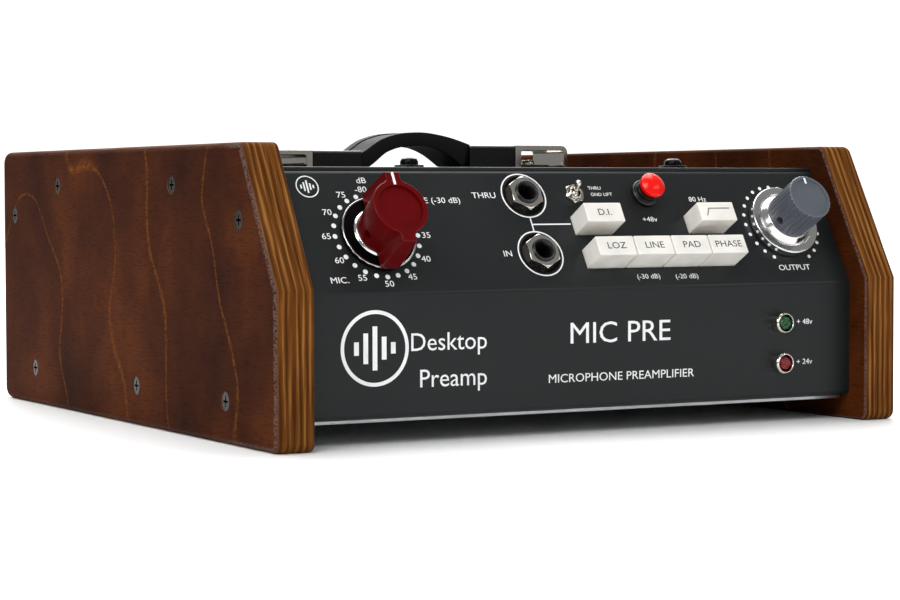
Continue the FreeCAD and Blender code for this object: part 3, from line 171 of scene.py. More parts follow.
@dataclass(frozen=True)
class StainedPly(Finish):
    """Birch plywood, dark walnut stain under satin lacquer.

    The face veneer shows thin golden growth lines some 58 mm apart, nested round a heart low at the back, and
    short dark pores along the grain.
    The sawn edges show pale plies about 2.8 mm apart. The outer rounded edge is rubbed to a dull grey.
    """

    ply: float = 2.83
    inner_face: float = 133.0
    heart: tuple = (118.0, 8.0)
    ring_pitch: float = 58.0
    swing: float = 120.0
    pore: float = 0.55
    fray: float = 4.2
    gold: str = "#8a4f14"
    rubbed: str = "#5c4d49"
    worn_front: tuple = (-120.0, -108.0)

    def material(self) -> bpy.types.Material:
        """Makes the veneer, the edge plies and the worn edge."""
        material, tree, shader, place = self.start()
        normal = add_node(tree, "TexCoord").outputs["Normal"]
        facing = add_node(tree, "SeparateXYZ", links={0: normal})
        xyz = add_node(tree, "SeparateXYZ", links={0: place})

        cloud = add_node(tree, "TexNoise", values={"Scale": 1 / 60, "Detail": 4.0, "Roughness": 0.6},
                         links={"Vector": place})
        veneer = add_node(tree, "ValToRGB", links={"Fac": cloud.outputs["Fac"]},
                          stops=((0.3, "#2a1208"), (0.5, "#3e1c09"), (0.72, "#552a10")))

        ring_y = add_node(tree, "Math", {"operation": "SUBTRACT"}, {1: self.heart[0]}, {0: xyz.outputs["Y"]})
        ring_z = add_node(tree, "Math", {"operation": "MULTIPLY_ADD"}, {1: 0.75, 2: -self.heart[1]},
                          {0: xyz.outputs["Z"]})
        ring = add_node(tree, "CombineXYZ", links={"Y": ring_y.outputs[0], "Z": ring_z.outputs[0]})
        reach = add_node(tree, "VectorMath", {"operation": "LENGTH"}, links={0: ring.outputs[0]})
        sway = add_node(tree, "TexNoise", values={"Scale": 1 / 85, "Detail": 1.2, "Roughness": 0.4},
                        links={"Vector": place})
        swayed = add_node(tree, "Math", {"operation": "MULTIPLY_ADD"}, {1: self.swing},
                          {0: sway.outputs["Fac"], 2: reach.outputs["Value"]})
        nearest = add_node(tree, "Math", {"operation": "PINGPONG"}, {1: self.ring_pitch / 2},
                           {0: swayed.outputs[0]})
        thin = add_node(tree, "MapRange", values={"From Min": 0.1, "From Max": 1.7, "To Min": 1.0, "To Max": 0.0},
                        links={"Value": nearest.outputs[0]})
        grains = add_node(tree, "TexNoise", values={"Scale": 1 / 1.1, "Detail": 3.0}, links={"Vector": place})
        broken = add_node(tree, "MapRange", values={"From Min": 0.38, "From Max": 0.7, "To Max": 0.7},
                          links={"Value": grains.outputs["Fac"]})
        golden = add_node(tree, "Math", {"operation": "MULTIPLY"}, {}, {0: thin.outputs[0], 1: broken.outputs[0]})
        lined = add_node(tree, "MixRGB", values={"Color2": linear(self.gold)},
                         links={"Fac": golden.outputs[0], "Color1": veneer.outputs["Color"]})

        along = add_node(tree, "Mapping", values={"Scale": (1.0, 0.09, 1.0)}, links={"Vector": place})
        pores = add_node(tree, "TexNoise", values={"Scale": 1 / self.pore, "Detail": 2.0},
                         links={"Vector": along.outputs["Vector"]})
        pore_tone = add_node(tree, "ValToRGB", links={"Fac": pores.outputs["Fac"]},
                             stops=((0.3, "#b4a9a2"), (0.5, "#ffffff"), (0.72, "#ffffff")))
        face = add_node(tree, "MixRGB", {"blend_type": "MULTIPLY"}, {"Fac": 0.75},
                        {"Color1": lined.outputs["Color"], "Color2": pore_tone.outputs["Color"]})

        wander = add_node(tree, "TexNoise", values={"Scale": 1 / 24, "Detail": 2.0}, links={"Vector": place})
        side = add_node(tree, "Math", {"operation": "ABSOLUTE"}, {}, {0: xyz.outputs["X"]})
        shifted = add_node(tree, "Math", {"operation": "ADD"}, {}, {0: side.outputs[0], 1: wander.outputs["Fac"]})
        depth = add_node(tree, "Math", {"operation": "SUBTRACT"}, {1: self.inner_face}, {0: shifted.outputs[0]})
        plies = add_node(tree, "Math", {"operation": "PINGPONG"}, {1: self.ply / 2}, {0: depth.outputs[0]})
        streaks = add_node(tree, "Mapping", values={"Scale": (1.6, 0.05, 0.05)}, links={"Vector": place})
        fibre = add_node(tree, "TexNoise", values={"Scale": 1 / 1.6, "Detail": 3.0},
                         links={"Vector": streaks.outputs["Vector"]})
        frayed = add_node(tree, "Math", {"operation": "MULTIPLY_ADD"}, {1: self.fray},
                          {0: fibre.outputs["Fac"], 2: plies.outputs[0]})
        shade = add_node(tree, "MapRange", values={"From Min": 1.7, "From Max": 3.7},
                         links={"Value": frayed.outputs[0]})
        edge = add_node(tree, "ValToRGB", links={"Fac": shade.outputs[0]},
                        stops=((0.05, "#8c5f2e"), (0.45, "#633b18"), (0.95, "#43240d")))
        on_edge = add_node(tree, "Math", {"operation": "ABSOLUTE"}, {}, {0: facing.outputs["X"]})
        is_edge = add_node(tree, "MapRange", values={"From Min": 0.62, "From Max": 0.72, "To Min": 1.0,
                                                     "To Max": 0.0}, links={"Value": on_edge.outputs[0]})
        wood = add_node(tree, "MixRGB", links={"Fac": is_edge.outputs[0], "Color1": face.outputs["Color"],
                                               "Color2": edge.outputs["Color"]})

        rounded = add_node(tree, "MapRange", values={"From Min": 0.5, "From Max": 0.75},
                           links={"Value": on_edge.outputs[0]})
        flat = add_node(tree, "MapRange", values={"From Min": 0.9, "From Max": 0.99, "To Min": 1.0, "To Max": 0.0},
                        links={"Value": on_edge.outputs[0]})
        band = add_node(tree, "Math", {"operation": "MULTIPLY"}, {}, {0: rounded.outputs[0], 1: flat.outputs[0]})
        front = add_node(tree, "MapRange",
                         values={"From Min": self.worn_front[0], "From Max": self.worn_front[1], "To Min": 1.0,
                                 "To Max": 0.25}, links={"Value": xyz.outputs["Y"]})
        worn = add_node(tree, "Math", {"operation": "MULTIPLY"}, {}, {0: band.outputs[0], 1: front.outputs[0]})
        speckle = add_node(tree, "TexNoise", values={"Scale": 1 / 0.9, "Detail": 2.0}, links={"Vector": place})
        spots = add_node(tree, "MapRange", values={"From Min": 0.36, "From Max": 0.6},
                         links={"Value": speckle.outputs["Fac"]})
        rub = add_node(tree, "Math", {"operation": "MULTIPLY"}, {}, {0: worn.outputs[0], 1: spots.outputs[0]})
        final = add_node(tree, "MixRGB", values={"Color2": linear(self.rubbed)},
                         links={"Fac": rub.outputs[0], "Color1": wood.outputs["Color"]})
        tree.links.new(final.outputs["Color"], shader.inputs["Base Color"])
        bump = add_node(tree, "Bump", values={"Strength": 0.25, "Distance": 0.06 * MM},
                        links={"Height": pores.outputs["Fac"]})
        tree.links.new(bump.outputs["Normal"], shader.inputs["Normal"])
        return material


@dataclass(frozen=True)
class PowderCoat(Finish):
    """Charcoal polyester powder on sheet steel: satin, with a fine orange peel under half a millimetre."""

    peel: float = 0.4

    def material(self) -> bpy.types.Material:
        """Makes the coat with its orange peel and its faint cloudiness."""
        material, tree, shader, place = self.start()
        peel = add_node(tree, "TexNoise", values={"Scale": 1 / self.peel, "Detail": 2.0}, links={"Vector": place})
        cloud = add_node(tree, "TexNoise", values={"Scale": 1 / 45, "Detail": 3.0}, links={"Vector": place})
        gloss = add_node(tree, "MapRange", values={"From Min": 0.3, "From Max": 0.7, "To Min": self.roughness - 0.05,
                                                   "To Max": self.roughness + 0.05},
                         links={"Value": cloud.outputs["Fac"]})
        tree.links.new(gloss.outputs[0], shader.inputs["Roughness"])
        bump = add_node(tree, "Bump", values={"Strength": 0.22, "Distance": 0.03 * MM},
                        links={"Height": peel.outputs["Fac"]})
        tree.links.new(bump.outputs["Normal"], shader.inputs["Normal"])
        return material


@dataclass(frozen=True)
class Metal(Finish):
    """Bare or plated metal: fine scuffs a few tenths of a millimetre wide vary the gloss."""

    metallic: float = 1.0
    scuff: float = 0.5
    stretch: tuple = (1.0, 1.0, 1.0)
    spread: float = 0.06

    def material(self) -> bpy.types.Material:
        """Makes the metal with its scuffs."""
        material, tree, shader, place = self.start()
        drawn = add_node(tree, "Mapping", values={"Scale": self.stretch}, links={"Vector": place})
        scuffs = add_node(tree, "TexNoise", values={"Scale": 1 / self.scuff, "Detail": 3.0},
                          links={"Vector": drawn.outputs["Vector"]})
        gloss = add_node(tree, "MapRange",
                         values={"From Min": 0.35, "From Max": 0.7, "To Min": self.roughness,
                                 "To Max": self.roughness + self.spread}, links={"Value": scuffs.outputs["Fac"]})
        tree.links.new(gloss.outputs[0], shader.inputs["Roughness"])
        return material


@dataclass(frozen=True)
class Moulded(Finish):
    """Injection-moulded plastic: the tool's texture shows as a faint grain, with slight flow marks."""

    grain: float = 0.3
    depth: float = 0.15
    coat: float = 0.0
    glow: float = 0.0

    def material(self) -> bpy.types.Material:
        """Makes the plastic with its grain and flow marks."""
        material, tree, shader, place = self.start()
        shader.inputs["Coat Weight"].default_value = self.coat
        shader.inputs["Coat Roughness"].default_value = 0.08
        shader.inputs["Subsurface Weight"].default_value = self.glow
        shader.inputs["Subsurface Scale"].default_value = 1.2 * MM
        grain = add_node(tree, "TexNoise", values={"Scale": 1 / self.grain, "Detail": 2.0}, links={"Vector": place})
        flow = add_node(tree, "TexNoise", values={"Scale": 1 / 9, "Detail": 2.0}, links={"Vector": place})
        tone = add_node(tree, "ValToRGB", links={"Fac": flow.outputs["Fac"]},
                        stops=((0.3, "#e2e2e2"), (0.7, "#ffffff")))
        colour = add_node(tree, "MixRGB", {"blend_type": "MULTIPLY"},
                          {"Fac": 0.5, "Color1": linear(self.colour)}, {"Color2": tone.outputs["Color"]})
        tree.links.new(colour.outputs["Color"], shader.inputs["Base Color"])
        bump = add_node(tree, "Bump", values={"Strength": self.depth, "Distance": 0.02 * MM},
                        links={"Height": grain.outputs["Fac"]})
        tree.links.new(bump.outputs["Normal"], shader.inputs["Normal"])
        return material


@dataclass(frozen=True)
class Lens(Finish):
    """Tinted acrylic lamp lens: moulded prisms a millimetre across over a dark cavity."""

    deep: str = "#04100a"

    def material(self) -> bpy.types.Material:
        """Makes the lens with its prisms."""
        material, tree, shader, place = self.start()
        prisms = add_node(tree, "TexVoronoi", values={"Scale": 1 / 1.1}, links={"Vector": place})
        colour = add_node(tree, "MixRGB", values={"Color1": linear(self.colour), "Color2": linear(self.deep)},
                          links={"Fac": prisms.outputs["Distance"]})
        tree.links.new(colour.outputs["Color"], shader.inputs["Base Color"])
        bump = add_node(tree, "Bump", values={"Strength": 0.6, "Distance": 0.2 * MM},
                        links={"Height": prisms.outputs["Distance"]})
        tree.links.new(bump.outputs["Normal"], shader.inputs["Normal"])
        return material


@dataclass(frozen=True)
class CircuitBoard(Finish):
    """Green solder mask on glass epoxy: copper tracks about 1.2 mm wide show through it."""

    track: float = 5.0

    def material(self) -> bpy.types.Material:
        """Makes the mask with its tracks."""
        material, tree, shader, place = self.start()
        tracks = add_node(tree, "TexBrick",
                          values={"Scale": 1 / self.track, "Mortar Size": 0.12, "Color1": linear(self.colour),
                                  "Color2": linear("#0f5426"), "Mortar": linear("#2d7c3c")},
                          links={"Vector": place})
        tree.links.new(tracks.outputs["Color"], shader.inputs["Base Color"])
        return material


FINISHES: dict[Slot, Finish] = {
    Slot.PLY: StainedPly("stained birch ply", "#4a2512", roughness=0.6, shine=0.02),
    Slot.POWDER: PowderCoat("satin powder coat", "#171a1b", roughness=0.4, shine=0.28),
    Slot.ZINC: Metal("zinc plated steel", "#b4b7ba", roughness=0.3, scuff=3.0, spread=0.15),
    Slot.BLACK_STEEL: Metal("black oxide steel", "#1d1c1c", roughness=0.22, spread=0.12),
    Slot.NICKEL: Metal("polished nickel plate", "#d9d5cc", roughness=0.08),
    Slot.STRAP: Moulded("moulded strap rubber", "#0c0c0b", roughness=0.6, shine=0.2, grain=0.6, depth=0.4),
    Slot.SLEEVE: Moulded("gloss black sleeve", "#050505", roughness=0.16, coat=0.15, shine=0.35, depth=0.06),
    Slot.RED_KNOB: Moulded("red phenolic knob", "#5a0103", roughness=0.3, coat=0.03, shine=0.12, depth=0.08,
                           glow=0.03),
    Slot.GREY_KNOB: Moulded("grey knob plastic", "#52565e", roughness=0.34, grain=0.25),
    Slot.BLACK_SKIRT: Metal("black lacquered skirt", "#191919", roughness=0.28, spread=0.1),
    Slot.ALUMINIUM: Metal("polished aluminium", "#dcdcda", roughness=0.12, scuff=0.3),
    Slot.JACK: Moulded("black jack nylon", "#0d0d0d", roughness=0.35),
    Slot.CAP: Moulded("warm white cap plastic", "#e9e6df", roughness=0.3, coat=0.2, depth=0.06, glow=0.06),
    Slot.RED_BUTTON: Moulded("bright red button", "#e60f06", roughness=0.22, coat=0.1, shine=0.3, depth=0.04,
                             glow=0.1),
    Slot.BUSHING: Moulded("black bushing plastic", "#0b0b0b", roughness=0.3),
    Slot.GREEN_LENS: Lens("green lamp lens", "#14602a", roughness=0.1, shine=0.4),
    Slot.RED_LENS: Lens("red lamp lens", "#8c1410", roughness=0.1, shine=0.4, deep="#1d0303"),
    Slot.SWITCH: Moulded("switch body nylon", "#26262a", roughness=0.55),
    Slot.BOARD: CircuitBoard("green circuit board", "#0d4a22", roughness=0.3),
    Slot.BRASS: Metal("turned brass", "#c9a050", roughness=0.22),
    Slot.CAN: Metal("drawn steel can", "#a9aaa6", roughness=0.34, scuff=1.2),
    Slot.CORE: Metal("varnished core steel", "#55565a", roughness=0.5, stretch=(1.0, 1.0, 6.0)),
    Slot.CAPACITOR: Moulded("capacitor sleeve", "#0c1c4c", roughness=0.25),
    Slot.ANODISED: Metal("black anodised aluminium", "#1a1a1c", roughness=0.5),
    Slot.CONNECTOR: Metal("black chromed zinc", "#3a3a3c", roughness=0.3),
    Slot.WHITE_INK: Moulded("white screen ink", "#f1f3f3", roughness=0.6, grain=0.2),
    Slot.DARK_INK: Moulded("dark legend ink", "#08080a", roughness=0.55, grain=0.2),
}
MADE: dict[Slot, bpy.types.Material] = {}


def dress(piece: bpy.types.Object, slot: Slot) -> None:
    """Gives a piece one finish all over.

    Args:
        piece: A new piece or a node of the frame.
        slot: The slot whose finish it takes.
    """
    if slot not in MADE:
        MADE[slot] = FINISHES[slot].material()
    if not piece.material_slots:
        piece.data.materials.append(MADE[slot])
    for holder in piece.material_slots:
        holder.material = MADE[slot]


# ---------------------------------------------------------------- modelling

def take(piece: bpy.types.Object) -> None:
    """Makes one piece the whole selection."""
    bpy.ops.object.select_all(action="DESELECT")
    piece.select_set(True)
    bpy.context.view_layer.objects.active = piece


def settle(piece: bpy.types.Object) -> None:
    """Moves a piece's place into its mesh."""
    take(piece)
    bpy.ops.object.transform_apply(location=True, rotation=True, scale=True)


def close_up(piece: bpy.types.Object, merge: float = 0.002) -> None:
    """Merges doubled points and turns every face outwards.

    Args:
        piece: The piece to mend.
        merge: The distance in millimetres under which points merge.
    """
    take(piece)
    bpy.ops.object.mode_set(mode="EDIT")
    bpy.ops.mesh.select_all(action="SELECT")
    bpy.ops.mesh.remove_doubles(threshold=merge * MM)
    bpy.ops.mesh.normals_make_consistent(inside=False)
    bpy.ops.object.mode_set(mode="OBJECT")


def joined(name: str, pieces: list) -> bpy.types.Object:
    """Joins pieces into one object.

    Args:
        name: The name of the result.
        pieces: The pieces, of which the first is kept.

    Returns:
        The joined piece.
    """
    bpy.ops.object.select_all(action="DESELECT")
    for piece in pieces:
        piece.select_set(True)
    bpy.context.view_layer.objects.active = pieces[0]
    if len(pieces) > 1:
        bpy.ops.object.join()
    pieces[0].name = name
    return pieces[0]


def round_off(piece: bpy.types.Object, width: float, steps: int, angle: float) -> None:
    """Rounds a piece's sharp edges.

    Args:
        piece: The piece.
        width: How far the rounding reaches from the edge, in millimetres.
        steps: The number of facets in the rounding.
        angle: The sharpest angle in degrees that is left as it is.
    """
    take(piece)
    rounding = piece.modifiers.new("rounding", "BEVEL")
    rounding.width = width * MM
    rounding.segments = steps
    rounding.limit_method = "ANGLE"
    rounding.angle_limit = math.radians(angle)
    bpy.ops.object.modifier_apply(modifier=rounding.name)


def softened(node: str, width: float, slot: Slot, body: str = CHASSIS, steps: int = 3,
             angle: float = 35.0) -> bpy.types.Object:
    """Makes a copy of a CAD node with its sharp edges rounded, and lets it stand for the node.

    Args:
        node: The node.
        width: How far the rounding reaches from the edge, in millimetres.
        slot: The slot whose finish the copy takes.
        body: The body it rides on.
        steps: The number of facets in the rounding.
        angle: The sharpest angle in degrees that is left as it is.

    Returns:
        The rounded copy.
    """
    piece = bpy.data.objects.new(node + "_finished", frame["nodes"][node].data.copy())
    bpy.context.scene.collection.objects.link(piece)
    take(piece)
    bpy.ops.object.mode_set(mode="EDIT")
    bpy.ops.mesh.select_all(action="SELECT")
    bpy.ops.mesh.customdata_custom_splitnormals_clear()
    bpy.ops.mesh.remove_doubles(threshold=0.002 * MM)
    bpy.ops.mesh.dissolve_limited(angle_limit=math.radians(0.8))
    bpy.ops.object.mode_set(mode="OBJECT")
    round_off(piece, width, steps, angle)
    bpy.ops.object.shade_smooth_by_angle(angle=math.radians(angle))
    flats = piece.modifiers.new("flats", "WEIGHTED_NORMAL")
    flats.keep_sharp = True
    bpy.ops.object.modifier_apply(modifier=flats.name)
    dress(piece, slot)
    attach(piece, body)
    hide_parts(node)
    return piece


def place_piece(piece: bpy.types.Object, slot: Slot, body: str) -> bpy.types.Object:
    """Dresses a new piece and sets it on its body."""
    dress(piece, slot)
    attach(piece, body)
    LOG.info("%s rides on %s", piece.name, body)
    return piece


@dataclass(frozen=True)
class Face:
    """A flat face of the case. Flat work is drawn in its own x and up directions, in millimetres."""

    origin: Vector
    tilt: float
    turn: float = 0.0

    def matrix(self) -> Matrix:
        """Gives the way from the drawing to the object."""
        return Matrix.Translation(self.origin) @ Matrix.Rotation(self.turn, 4, "Z") @ Matrix.Rotation(
            self.tilt, 4, "X")

    def lay(self, piece: bpy.types.Object, height: float = 0.0) -> bpy.types.Object:
        """Lays a flat piece on the face.

        Args:
            piece: The piece, drawn flat at the world's origin.
            height: How far above the face it goes, in millimetres.

        Returns:
            The piece, with its place in its mesh.
        """
        piece.matrix_world = self.matrix() @ Matrix.Translation((0, 0, height * MM)) @ piece.matrix_world
        settle(piece)
        return piece

    def extent(self, node: str) -> tuple[Vector, Vector]:
        """Measures a CAD node in this face's directions.

        Args:
            node: The node.

        Returns:
            Its lowest and highest x, way up the face and height above it, in millimetres.
        """
        back = self.matrix().inverted()
        points = [back @ v.co / MM for v in frame["nodes"][node].data.vertices]
        return (Vector([min(p[i] for p in points) for i in range(3)]),
                Vector([max(p[i] for p in points) for i in range(3)]))

    def middle(self, node: str) -> Vector:
        """Gives the middle of a CAD node on this face, at its highest."""
        low, high = self.extent(node)
        return Vector(((low.x + high.x) / 2, (low.y + high.y) / 2, high.z))


def joint(name: str) -> dict:
    """Finds a joint of the frame by name."""
    return next(j for j in frame["joints"] if j["name"] == name)


def slope_face() -> Face:
    """Finds the sloping control panel from the gain control's axis, with its origin at the fold."""
    gain = joint("gain_turn")
    axis, centre = Vector(gain["axis"]), Vector(gain["pos_m"])
    tilt = math.acos(axis.z)
    fold_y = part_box("front_panel")[0].y
    reach = (centre.y - fold_y) / math.cos(tilt)
    return Face(Vector((0, fold_y, centre.z - reach * math.sin(tilt))), tilt)


# ---------------------------------------------------------------- flat print

@dataclass
class Print:
    """Screen print in thin ink, drawn flat in millimetres and laid on a face when it is complete."""

    face: Face
    ink: float = 0.05
    sunk: float = 0.015

    def __post_init__(self) -> None:
        """Starts with nothing drawn."""
        self.marks: list = []

    def thicken(self, mark: bpy.types.Object) -> None:
        """Gives a flat mark the thickness of the ink."""
        take(mark)
        bpy.ops.object.mode_set(mode="EDIT")
        bpy.ops.mesh.select_all(action="SELECT")
        bpy.ops.mesh.remove_doubles(threshold=0.001 * MM)
        bpy.ops.mesh.extrude_region_move(TRANSFORM_OT_translate={"value": (0, 0, self.ink * MM)})
        bpy.ops.mesh.select_all(action="SELECT")
        bpy.ops.mesh.normals_make_consistent(inside=False)
        bpy.ops.object.mode_set(mode="OBJECT")
        self.marks.append(mark)

    def words(self, text: str, x: float, up: float, height: float, wide: float = 1.12) -> None:
        """Draws lettering centred on a point.

        Args:
            text: The words, on one or more lines.
            x: Middle of the words.
            up: Middle of the words up the face.
            height: Height of a capital letter.
            wide: How much wider the letters are than the plain typeface.
        """
        bpy.ops.object.select_all(action="DESELECT")
        bpy.ops.object.text_add(location=(x * MM, up * MM, 0))
        mark = bpy.context.object
        mark.data.body = text
        mark.data.size = height * MM / 0.72
        mark.data.align_x, mark.data.align_y = "CENTER", "CENTER"
        mark.data.resolution_u = 3
        mark.scale.x = wide
        bpy.ops.object.convert(target="MESH")
        mark = bpy.context.object
        settle(mark)
        self.thicken(mark)

    def dot(self, x: float, up: float, radius: float) -> None:
        """Draws a round dot."""
        bpy.ops.object.select_all(action="DESELECT")
        bpy.ops.mesh.primitive_circle_add(vertices=20, radius=radius * MM, fill_type="NGON",
                                          location=(x * MM, up * MM, 0))
        settle(bpy.context.object)
        self.thicken(bpy.context.object)

    def ring(self, x: float, up: float, radius: float, line: float) -> None:
        """Draws a round line of the given outer radius and width."""
        bpy.ops.object.select_all(action="DESELECT")
        bpy.ops.mesh.primitive_circle_add(vertices=72, radius=radius * MM, fill_type="NGON",
                                          location=(x * MM, up * MM, 0))
        mark = bpy.context.object
        settle(mark)
        bpy.ops.object.mode_set(mode="EDIT")
        bpy.ops.mesh.select_all(action="SELECT")
        bpy.ops.mesh.inset(thickness=line * MM)
        bpy.ops.mesh.delete(type="FACE")
        bpy.ops.object.mode_set(mode="OBJECT")
        self.thicken(mark)

    def bar(self, x: float, up: float, width: float, height: float, turn: float = 0.0) -> None:
        """Draws a straight bar centred on a point, turned by an angle in degrees."""
        bpy.ops.object.select_all(action="DESELECT")
        bpy.ops.mesh.primitive_plane_add(size=1.0, location=(x * MM, up * MM, 0),
                                         rotation=(0, 0, math.radians(turn)))
        mark = bpy.context.object
        mark.scale = (width * MM, height * MM, 1.0)
        settle(mark)
        self.thicken(mark)

    def finish(self, name: str, body: str, slot: Slot, height: float = 0.0) -> bpy.types.Object:
        """Joins the marks, lays them on the face and sets them on their body."""
        sheet = joined(name, self.marks)
        self.marks = []
        self.face.lay(sheet, height - self.sunk)
        return place_piece(sheet, slot, body)


@dataclass
class PanelPrint:
    """The white print on the control panel, the lower panel and the rear panel."""

    slope: Face
    dot_radius: float = 1.05
    numeral: float = 2.75
    gain_dots: float = 18.6
    gain_numbers: float = 22.4
    output_dots: float = 18.7
    jack_ring: float = 10.6
    jack_link: float = 18.8
    line: float = 0.6
    note: float = 2.4
    bracketed: float = 2.3
    tiny: float = 1.6

    def gain_scale(self, sheet: Print, x: float, up: float) -> None:
        """Draws the gain switch's dots, numbers and words round its axis."""
        for step in range(19):
            angle = math.radians(-15 * step)
            sheet.dot(x + self.gain_dots * math.cos(angle), up + self.gain_dots * math.sin(angle), self.dot_radius)
        for step, value in enumerate((35, 40, 45, 50, 55, 60, 65, 70, 75)):
            angle = math.radians(-30 * step)
            sheet.words(str(value), x + self.gain_numbers * math.cos(angle),
                        up + (self.gain_numbers - 0.6) * math.sin(angle), self.numeral)
        sheet.words("-80", x - 1.8, up + 21.3, self.numeral)
        sheet.words("dB", x - 0.6, up + 25.5, self.numeral)
        sheet.words("LINE (-30 dB)", x + 31.0, up + 16.1, 2.7)
        sheet.words("MIC.", x - 21.5, up - 19.8, self.numeral)

    def output_scale(self, sheet: Print, x: float, up: float) -> None:
        """Draws the output control's dots over 300 degrees, and its name."""
        for step in range(21):
            angle = math.radians(240 - 15 * step)
            sheet.dot(x + self.output_dots * math.cos(angle), up + self.output_dots * math.sin(angle),
                      self.dot_radius * 0.8)
        sheet.words("OUTPUT", x - 0.5, up - 21.6, self.numeral)

    def jack_marks(self, sheet: Print, thru: Vector, plug_in: Vector) -> None:
        """Draws the rings round the jacks, the line that joins them and their names."""
        for centre, word, shift in ((thru, "THRU", -19.0), (plug_in, "IN", -15.6)):
            sheet.ring(centre.x, centre.y, self.jack_ring, self.line)
            sheet.words(word, centre.x + shift, centre.y + 0.1, 2.8)
        top, bottom = thru.y - self.jack_ring, plug_in.y + self.jack_ring
        middle = (top + bottom) / 2
        sheet.bar(thru.x, middle, self.line, top - bottom + self.line)
        sheet.bar(thru.x + self.jack_link / 2, middle, self.jack_link, self.line)

    def badge(self, sheet: Print, x: float, up: float, radius: float) -> None:
        """Draws a ring round a five-bar sound level."""
        sheet.ring(x, up, radius, radius * 0.1)
        for step, share in enumerate((0.35, 0.8, 1.15, 0.6, 0.3)):
            sheet.bar(x + (step - 2) * radius * 0.27, up, radius * 0.14, radius * share)

    def build(self) -> None:
        """Draws all the print."""
        gain, output = self.slope.middle("gain_skirt"), self.slope.middle("output_skirt")
        jacks = [self.slope.middle(n) for n in ("jack_thru", "jack_in")]
        caps = {n: self.slope.middle(n + "_button") for n in BUTTONS}
        sheet = Print(self.slope)
        self.gain_scale(sheet, gain.x, gain.y)
        self.output_scale(sheet, output.x, output.y)
        self.jack_marks(sheet, *jacks)
        self.badge(sheet, gain.x - 25.2, gain.y + 22.8, 5.0)
        toggle, phantom = self.slope.middle("toggle_nut"), self.slope.middle("phantom_bushing")
        sheet.words("THRU", toggle.x + 11.6, toggle.y + 3.4, self.tiny)
        sheet.words("GND LIFT", toggle.x + 14.2, toggle.y + 0.3, self.tiny)
        sheet.words("+48v", phantom.x - 1.0, phantom.y - 12.3, self.note)
        sheet.words("80 Hz", caps["highpass"].x + 0.6, caps["highpass"].y + 12.2, self.note)
        sheet.words("(-30 dB)", caps["line"].x + 0.6, caps["line"].y - 9.0, self.bracketed)
        sheet.words("(-20 dB)", caps["pad"].x + 1.1, caps["pad"].y - 9.3, self.bracketed)
        sheet.finish("control_panel_print", CHASSIS, Slot.WHITE_INK)

        upright = Face(Vector((0, self.slope.origin.y, 0)), math.pi / 2)
        lamps = {n: upright.middle("led_lens_" + n) for n in ("green", "red")}
        sheet = Print(upright)
        self.badge(sheet, -101.5, 38.7, 15.1)
        sheet.words("Desktop", -68.2, 40.2, 7.4, wide=1.0)
        sheet.words("Preamp", -66.2, 25.6, 7.4, wide=1.0)
        sheet.words("MIC PRE", 13.4, 41.5, 9.0)
        sheet.words("MICROPHONE PREAMPLIFIER", 14.3, 23.4, 3.6)
        sheet.words("+ 48v", lamps["green"].x + 13.4, lamps["green"].y, self.note)
        sheet.words("+ 24v", lamps["red"].x + 13.4, lamps["red"].y, self.note)
        sheet.finish("lower_panel_print", CHASSIS, Slot.WHITE_INK)

        rear = Face(Vector((0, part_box("rear_panel")[1].y, 0)), math.pi / 2, math.pi)
        sheet = Print(rear)
        for node, word in (("xlr_input", "MICROPHONE"), ("xlr_output", "OUTPUT"), ("dc_socket", "24 V DC")):
            low, high = rear.extent(node)
            sheet.words(word, (low.x + high.x) / 2, high.y + 5.0, 3.2)
        sheet.finish("rear_panel_print", CHASSIS, Slot.WHITE_INK)


# ---------------------------------------------------------------- sub-assemblies

@dataclass
class Case:
    """The two plywood cheeks, the folded metal body and its screws."""

    screw_round: float = 0.25

    def build(self) -> None:
        """Dresses the case and rounds the edges that catch the light."""
        for node in ("cheek_left", "cheek_right"):
            dress(frame["nodes"][node], Slot.PLY)
        for node in ("front_panel", "top_cover", "rear_panel"):
            dress(frame["nodes"][node], Slot.POWDER)
        dress(frame["nodes"]["bottom_tray"], Slot.ZINC)
        for node in ("cheek_screws", "connector_screws"):
            dress(frame["nodes"][node], Slot.BLACK_STEEL)
        for node in ("cover_screws", "cover_washers"):
            softened(node, self.screw_round, Slot.BLACK_STEEL)


